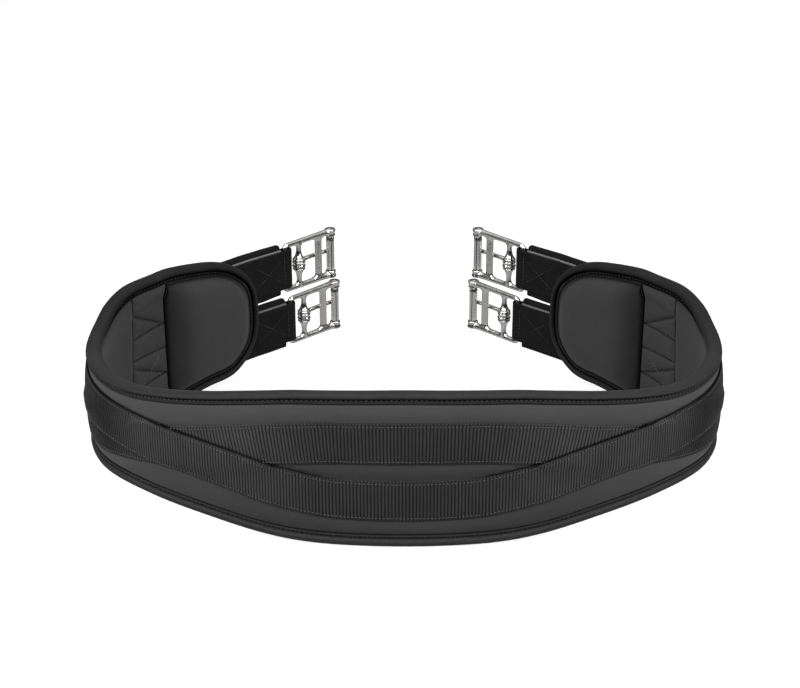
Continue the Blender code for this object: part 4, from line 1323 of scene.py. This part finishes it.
def strap_leather(strap):
    """Leather folded round the strap bar and pressed flat over the elastic."""
    reach = FOLD_REACH[strap.level]
    radius = FOLD_INSIDE + LEATHER_THICK / 2

    def leaf_y(x):
        return radius - 0.22 * ease(-x, 3.2, 6.0) + 0.10 * ease(-x, 6.0, 12.0)

    # centre line of the leather (x, y): inner leaf, round the bar, outer leaf
    inner_end, outer_end = strap.x_of(444.0), strap.x_of(453.0)
    line = [(x, -leaf_y(x)) for x in np.arange(inner_end, reach - 0.3, 0.9)]
    for angle in np.radians(np.linspace(-90, 90, 21)):
        line.append((reach + radius * math.cos(angle), radius * math.sin(angle)))
    line += [(x, leaf_y(x)) for x in np.arange(reach - 0.9, outer_end, -0.9)]
    line.append((outer_end, leaf_y(outer_end)))
    line = np.array(line)
    tangent = unit(np.gradient(line, axis=0))
    normal_x, normal_y = tangent[:, 1:2], -tangent[:, 0:1]

    # denser across so that the face can dip at the stitch rows
    corners = rounded_section(LEATHER_HALF, LEATHER_THICK, radius=0.55, steps=3)
    flat = LEATHER_HALF - 0.56
    section_z = np.concatenate([corners[:4, 0], np.linspace(flat, -flat, 20)[1:-1],
                                corners[4:12, 0], np.linspace(-flat, flat, 6)[1:-1],
                                corners[12:, 0]])
    section_y = np.concatenate([corners[:4, 1], np.full(18, LEATHER_THICK / 2),
                                corners[4:12, 1], np.full(4, -LEATHER_THICK / 2),
                                corners[12:, 1]])
    x = line[:, 0:1] + normal_x * section_y[None, :]
    y = line[:, 1:2] + normal_y * section_y[None, :]
    seam_x = reach - 5.8
    seam = bell(line[:, 0:1], seam_x, 0.8) * (np.abs(section_z)[None, :] < 13.0)
    uneven = 0.12 * noise2(x, y * 9 + section_z[None, :], 21, 6.0)
    shift = np.where((section_y > 0.3)[None, :], -0.24 * seam + uneven, 0.0)
    rings = strap.at(x + normal_x * shift, y + normal_y * shift, section_z[None, :])
    piece(tube_mesh(strap.name + "_leather_chape", rings, LEATHER),
          strap.name + "_chape_body", "strap_leather", strap.name + "_chape")

    # stitching on both faces: a row next to the bar, then a cross
    face = radius + LEATHER_THICK / 2 - 0.22
    near, far = seam_x - 3.5, strap.x_of(468.0)
    # (start x, end x, start z, end z, rise, thread radius)
    runs = [(seam_x, seam_x, -12.0, 12.0, -0.10, 0.25),
            (near, far, 9.0, -9.0, 0.02, 0.16), (near, far, -9.0, 9.0, 0.02, 0.16)]
    parts = []
    for side in (-1, 1):
        for x0, x1, z0, z1, rise, thread_radius in runs:
            path = strap.at(np.linspace(x0, x1, 40), side * (face + rise),
                            np.linspace(z0, z1, 40))
            parts.append(stitches(path, side * strap.outward, pitch=2.9, length=2.2,
                                  radius=thread_radius, lift=0.04))
    piece(join_parts(strap.name + "_chape_stitches", parts, THREAD_DARK),
          strap.name + "_chape_body", "strap_leather")


def strap_core(strap):
    """The grey core web between the leather's inner leaf and the elastic."""
    section_z, section_y = rounded_section(17.35, 1.0, radius=0.35, steps=2).T
    x = np.repeat(np.arange(strap.x_of(444.6), -4.7, 0.8)[:, None], len(section_z), 1)
    fray = 0.10 * noise2(x, section_z[None, :], 31, 2.0)
    y = CORE_Y + section_y[None, :] + 0.06 * np.cos(2 * math.pi * x / 1.6)
    rings = strap.at(x, y, section_z[None, :] * (1 + fray / 17.0))
    piece(tube_mesh(strap.name + "_core_webbing", rings, CORE),
          strap.name + "_chape_body", "core_webbing", strap.name + "_core_web")


# ---------------------------------------------------------------- buckles
# One buckle is shaped in strap x, y, z and set in four places.
RAIL_Z = 18.9
RAIL_INSIDE = 16.7
CORNER = 2.6             # bend of the rod from rail to strap bar
STRAP_BAR_RADIUS = 1.95
PIVOT_RADIUS = 2.2
CROSS_BAR_X = 36.4
TONGUE_REST = 5.25       # y of the tongue's centre line over the roller


def circle(sides):
    return np.arange(sides) * 2 * math.pi / sides


def swept(path, radii, sides):
    """A capped tube along a path in x, y, z, as a part."""
    path = np.asarray(path, float)
    tangent = unit(np.gradient(path, axis=0))
    across = unit(np.cross(tangent, np.array([0, 1.0, 0])))
    upward = np.cross(across, tangent)
    radii = np.asarray(radii, float)[:, None, None]
    angles = circle(sides)[None, :, None]
    rings = (path[:, None, :] + across[:, None, :] * (np.cos(angles) * radii)
             + upward[:, None, :] * (np.sin(angles) * radii))
    return capped(rings, path[[0, -1]])


def z_bar(centre_x, z, wide, thick, sides, power=1.0):
    """A bar along Z, as a part, with its own half width and half thickness at each z.

    A power below 1 squares its round section."""
    cos, sin = np.cos(circle(sides)), np.sin(circle(sides))
    x, y = np.sign(cos) * np.abs(cos) ** power, np.sign(sin) * np.abs(sin) ** power
    z, wide, thick = (np.asarray(v, float) for v in (z, wide, thick))
    rings = np.stack([centre_x + wide[:, None] * x, thick[:, None] * y,
                      np.repeat(z[:, None], sides, 1)], -1)
    return capped(rings, [(centre_x, 0, z[0]), (centre_x, 0, z[-1])])


def spun(centre_x, radii, z, angles):
    """Sections turned about a Z axis: rings of points, one for each angle."""
    angles = angles[:, None]
    return np.stack(np.broadcast_arrays(centre_x + radii * np.cos(angles),
                                        radii * np.sin(angles), z), -1)


def fillet(z, radius):
    """How much a cross bar widens near the rails, by a round of this radius."""
    depth = np.clip(RAIL_INSIDE - np.abs(z), 0, radius)
    return radius - np.sqrt(radius ** 2 - (radius - depth) ** 2)


def rod_part(roller_x):
    """Rails and strap bar in one bent rod, stouter toward the roller."""
    rail_x = np.linspace(roller_x, CORNER + 1, 18)
    path = [(x, 0, RAIL_Z) for x in rail_x]
    radii = list(np.interp(rail_x, [0, 20, roller_x - 10, roller_x], [2.1, 2.25, 2.5, 3.0]))
    for angle in np.radians(np.linspace(0, 90, 7)):
        path.append((CORNER - CORNER * math.sin(angle), 0,
                     RAIL_Z - CORNER + CORNER * math.cos(angle)))
    radii += list(np.linspace(2.1, STRAP_BAR_RADIUS, 7))
    path += [(0, 0, z) for z in np.linspace(RAIL_Z - CORNER - 1.5, 0.5, 6)]
    radii += [STRAP_BAR_RADIUS] * 6
    path += [(x, y, -z) for x, y, z in reversed(path)]
    return swept(path, radii + radii[::-1], 24)


def cross_bar_part():
    """Flat cross bar, spreading into the rails by rounds."""
    z = np.concatenate([np.linspace(-RAIL_Z, -RAIL_INSIDE, 3),
                        np.linspace(-RAIL_INSIDE + 0.3, -14, 9), np.linspace(-12, 12, 9),
                        np.linspace(14, RAIL_INSIDE - 0.3, 9),
                        np.linspace(RAIL_INSIDE, RAIL_Z, 3)])
    return z_bar(CROSS_BAR_X, z, 3.25 + fillet(z, 2.9), 1.5 + 0.25 * fillet(z, 2.9), sides=28,
                 power=0.42)


def tongue_bar_part(pivot_x):
    """Bar of the tongue, with a cone on each side of the tongue's eye."""
    # (z, radius) of one half
    half = [(0.0, 1.95), (3.2, 1.95), (3.25, 4.9), (3.55, 5.25), (4.1, 5.3), (4.6, 4.95),
            (5.4, 4.2), (6.4, 3.5), (7.8, 2.85), (9.6, 2.4), (11.5, 2.2), (14.0, PIVOT_RADIUS)]
    half += [(z, PIVOT_RADIUS) for z in (*np.linspace(14.6, RAIL_INSIDE, 8), RAIL_Z)]
    z, radii = np.array(half).T
    z, radii = np.concatenate([-z[:0:-1], z]), np.concatenate([radii[:0:-1], radii])
    return z_bar(pivot_x, z, radii + fillet(z, 2.7), radii, sides=30)


def frame_parts(pivot_x, roller_x):
    parts = [rod_part(roller_x), cross_bar_part(), tongue_bar_part(pivot_x),
             z_bar(roller_x, (-RAIL_Z, RAIL_Z), (1.6, 1.6), (1.6, 1.6), sides=16)]
    # (z, radius) of the knob at each end of the roller's axle
    knob_z, knob_radii = np.array([
        (14.95, 2.4), (15.0, 3.9), (15.3, 4.3), (15.9, 4.45), (16.9, 4.2), (18.0, 4.2),
        (19.1, 4.5), (20.1, 4.7), (20.8, 4.5), (21.2, 3.9), (21.35, 2.4), (21.35, 0.8)]).T
    # (distance before the roller, z, radius) where the rail thickens into the knob
    swelling = [(12.0, RAIL_Z, 2.45), (9.0, RAIL_Z, 2.55), (6.0, RAIL_Z - 0.1, 2.75),
                (3.5, 18.7, 3.1), (0.0, 18.3, 3.5)]
    for side in (1, -1):
        parts.append(z_bar(roller_x, side * knob_z, knob_radii, knob_radii, sides=34))
        parts.append(swept([(roller_x - before, 0, side * z) for before, z, _ in swelling],
                           [radius for _, _, radius in swelling], 22))
    return parts


def tongue_parts(pivot_x, roller_x):
    """A tapering bar out to the roller, on the outer side, and an eye round the tongue bar."""
    reach = roller_x - pivot_x
    # (x from the pivot, y) of the bar's centre line
    path = [(1.2, 3.0), (3.4, 3.3), (6.5, 4.4), (10.0, 5.2), (14.5, 5.6), (21.0, 5.65),
            (27.5, 5.5), (reach - 2.5, TONGUE_REST + 0.1), (reach + 1.5, TONGUE_REST - 0.05),
            (reach + 4.0, TONGUE_REST - 0.7)]
    path = np.array([(pivot_x + x, y, 0.0) for x, y in path])
    path = sample(path, np.arange(10), np.linspace(0, 9, 40))
    for _ in range(4):
        path[1:-1] = 0.25 * path[:-2] + 0.5 * path[1:-1] + 0.25 * path[2:]
    radii = np.interp(np.linspace(0, 1, 40), [0, 0.12, 0.3, 0.8, 0.95, 1.0],
                      [2.4, 2.2, 1.85, 1.75, 1.5, 0.9])
    # (z, radius) of the eye: a collar of two soft beads, then its bore
    eye_z, eye_radii = np.array([
        (-2.9, 4.4), (-2.65, 5.05), (-2.1, 5.45), (-1.3, 5.45), (-0.45, 5.05), (0.0, 4.9),
        (0.45, 5.05), (1.3, 5.45), (2.1, 5.45), (2.65, 5.05), (2.9, 4.4),
        (2.9, 2.55), (2.6, 2.35), (-2.6, 2.35), (-2.9, 2.55)]).T
    eye = spun(pivot_x, eye_radii, eye_z, circle(44))
    eye_faces = grid_faces(*eye.shape[:2], close_rows=True)
    return [swept(path, radii, 18), (eye.reshape(-1, 3), eye_faces, np.zeros((0, 3), int))]


def roller_rings(roller_x):
    """Rolled sheet: a tube with an open seam and softly rounded ends."""
    half, outer, inner = 14.6, 3.35, 1.95
    sides, gap = 56, 0.10
    # (radius, z): out along the tube, round the end, back inside
    section = [(outer, z) for z in np.linspace(-half + 0.5, half - 0.5, 9)]
    section += [(outer - 0.15, half - 0.15), (outer - 0.5, half), (inner + 0.4, half),
                (inner, half - 0.4), (inner, 0.0), (inner, -half + 0.4), (inner + 0.4, -half),
                (outer - 0.5, -half), (outer - 0.15, -half + 0.15)]
    radii, z = np.array(section).T
    i = np.arange(sides)
    # the outer skin turns in at the seam
    drop = 0.22 * np.exp(-np.minimum(i, sides - 1 - i) / 1.2)
    angles = np.linspace(gap, 2 * math.pi - gap, sides) + math.radians(248)
    return spun(roller_x, radii - drop[:, None] * (radii > 2.6), z, angles)


def one_skin(name, parts, voxel, smooth_steps, mat):
    """One skin round overlapping parts, with cast fillets: voxel remesh, then smoothing."""
    obj = join_parts(name, parts, mat)
    agree_normals(obj)
    skin = obj.modifiers.new("skin", "REMESH")
    skin.mode = "VOXEL"
    skin.voxel_size = voxel
    skin.use_smooth_shade = True
    soften = obj.modifiers.new("fillet", "SMOOTH")
    soften.factor = 0.5
    soften.iterations = smooth_steps
    bpy.context.view_layer.update()
    graph = bpy.context.evaluated_depsgraph_get()
    mesh = bpy.data.meshes.new_from_object(obj.evaluated_get(graph))
    obj.modifiers.clear()
    obj.data = mesh
    mesh.materials.clear()
    mesh.materials.append(mat)
    mesh.shade_smooth()
    return obj


def set_on_strap(strap, source, name):
    """A copy of a mesh in strap x, y, z, placed on a strap."""
    mesh = source.data.copy()
    write_points(mesh, strap.at(*read_points(mesh).T))
    obj = bpy.data.objects.new(name, mesh)
    LOOKS.objects.link(obj)
    turn_out(obj)
    mesh.shade_smooth()
    return obj


STRAPS = [Strap(name) for name in ("left_upper", "left_lower", "right_upper", "right_lower")]
pivot_x, roller_x = STRAPS[0].pivot_x, STRAPS[0].roller_x
frame_source = one_skin("frame_source", frame_parts(pivot_x, roller_x),
                        voxel=0.36, smooth_steps=5, mat=STEEL)
tongue_source = one_skin("tongue_source", tongue_parts(pivot_x, roller_x),
                         voxel=0.28, smooth_steps=3,
                         mat=FORGED)
roller_source = tube_mesh("roller_source", roller_rings(roller_x), ROLLED)
# (source, name ending, body ending, slot, ending of the CAD piece)
BUCKLE_PIECES = [
    (frame_source, "_cast_frame", "_buckle_body", "cast_steel", "_buckle_frame"),
    (roller_source, "_rolled_roller", "_roller_body", "rolled_steel", "_roller"),
    (tongue_source, "_forged_tongue", "_tongue_body", "forged_steel", "_tongue"),
]
for strap in STRAPS:
    strap_root(strap)
    strap_elastic(strap)
    strap_core(strap)
    strap_leather(strap)
    for source, ending, body, slot, node in BUCKLE_PIECES:
        piece(set_on_strap(strap, source, strap.name + ending), strap.name + body, slot,
              strap.name + node)
for source in (frame_source, tongue_source, roller_source):
    bpy.data.objects.remove(source, do_unlink=True)

# ---------------------------------------------------------------- floor, world, lights, camera
scene = bpy.context.scene
scene.view_settings.view_transform = "Standard"
scene.view_settings.look = "None"


def floor_paint():
    """Nearly even white to the camera with a trace of contact shadow, mid grey to the girth."""
    mat = Mat("floor_paint")
    mat.set(Base_Color=0.22, Roughness=0.85, Specular_IOR_Level=0.0)
    glow = mat.add("Emission", {"Strength": 0.86})
    shadowed = mat.add("BsdfDiffuse", {"Color": 0.22})
    seen = mat.add("AddShader", {0: glow.outputs[0], 1: shadowed.outputs[0]})
    # in the metal the floor is brighter the more steeply it is looked down on
    incoming = mat.add("NewGeometry").outputs["Incoming"]
    steepness = mat.add("SeparateXYZ", {0: incoming}).outputs["Z"]
    mirrored = mat.add("Emission", {
        "Strength": mat.remap(steepness, between=(0.24, 0.38), to=(0.05, 0.50))})
    unseen = mat.by_ray("Is Glossy Ray", mirrored.outputs[0], mat.principled.outputs[0])
    mat.feed(mat.output.inputs[0], mat.by_ray("Is Camera Ray", seen.outputs[0], unseen))
    return mat.material


def make_floor():
    mesh = bpy.data.meshes.new("floor")
    work = bmesh.new()
    bmesh.ops.create_grid(work, x_segments=1, y_segments=1, size=6.0)
    work.to_mesh(mesh)
    work.free()
    floor = bpy.data.objects.new("floor", mesh)
    floor.location.z = -0.0006
    scene.collection.objects.link(floor)
    mesh.materials.append(floor_paint())


def make_world():
    """White to the camera, a soft light from above the front, its own view for the metal."""
    world = bpy.data.worlds.new("studio")
    scene.world = world
    world.use_nodes = True
    nodes = Nodes(world.node_tree)
    output = nodes.add("OutputWorld")
    direction = nodes.add("TexCoord").outputs["Generated"]

    def background(colour, strength):
        return nodes.add("Background", {0: colour, 1: strength}).outputs[0]

    toward_light = nodes.add("VectorMath", {0: direction, 1: (0.0, -0.64, 0.77)},
                             operation="DOT_PRODUCT").outputs["Value"]
    soft = nodes.ramp(nodes.remap(toward_light, between=(-1.0, 1.0), to=(0.0, 1.0)),
                      [(0.0, 0.03), (0.44, 0.05), (0.58, 0.22), (0.72, 0.50), (1.0, 0.85)])
    # what shines in the metal: a dark band above eye level, light from above
    height = nodes.add("SeparateXYZ", {0: direction}).outputs["Z"]
    shine = nodes.ramp(height, [(0.0, 0.30), (0.05, 0.12), (0.22, 0.07), (0.45, 0.16),
                                (0.68, 0.60), (1.0, 0.95)])
    unseen = nodes.by_ray("Is Diffuse Ray", when=background(soft, strength=0.52),
                          otherwise=background(shine, strength=1.0))
    seen = background(1.0, strength=1.0)
    nodes.feed(output.inputs[0], nodes.by_ray("Is Camera Ray", seen, unseen))


def area_light(name, location, target, width, height, power):
    data = bpy.data.lights.new(name, "AREA")
    data.shape = "RECTANGLE"
    data.size, data.size_y = width, height
    data.energy = power
    light = bpy.data.objects.new(name, data)
    scene.collection.objects.link(light)
    light.location = location
    light.rotation_mode = "QUATERNION"
    toward = Vector(target) - Vector(location)
    light.rotation_quaternion = toward.to_track_quat("-Z", "Y")


def make_camera():
    """In front of the girth and above it, looking down by 24 degrees."""
    data = bpy.data.cameras.new("camera")
    data.sensor_fit = "HORIZONTAL"
    data.sensor_width = 36.0
    data.lens = 76.5
    data.shift_x = -0.005
    data.clip_start, data.clip_end = 0.05, 30.0
    camera = bpy.data.objects.new("camera", data)
    scene.collection.objects.link(camera)
    camera.location = (0.0, (-969.2 - ORIGIN_Y) * MM, (519.8 + ORIGIN_Z) * MM)
    camera.rotation_euler = (math.radians(90) - math.radians(24.0), 0, 0)
    scene.camera = camera


make_floor()
make_world()
area_light("front", location=(0.0, -1.5, 1.25), target=(0, -0.05, 0.05),
           width=1.5, height=0.6, power=20.0)
area_light("top", location=(0.0, -0.05, 1.6), target=(0, 0.0, 0.05),
           width=1.4, height=0.8, power=17.0)
for word, side in (("left", -1), ("right", 1)):
    area_light(word, location=(side * 1.25, -0.75, 0.75), target=(side * 0.1, -0.05, 0.06),
               width=0.4, height=0.8, power=18.0)
make_camera()
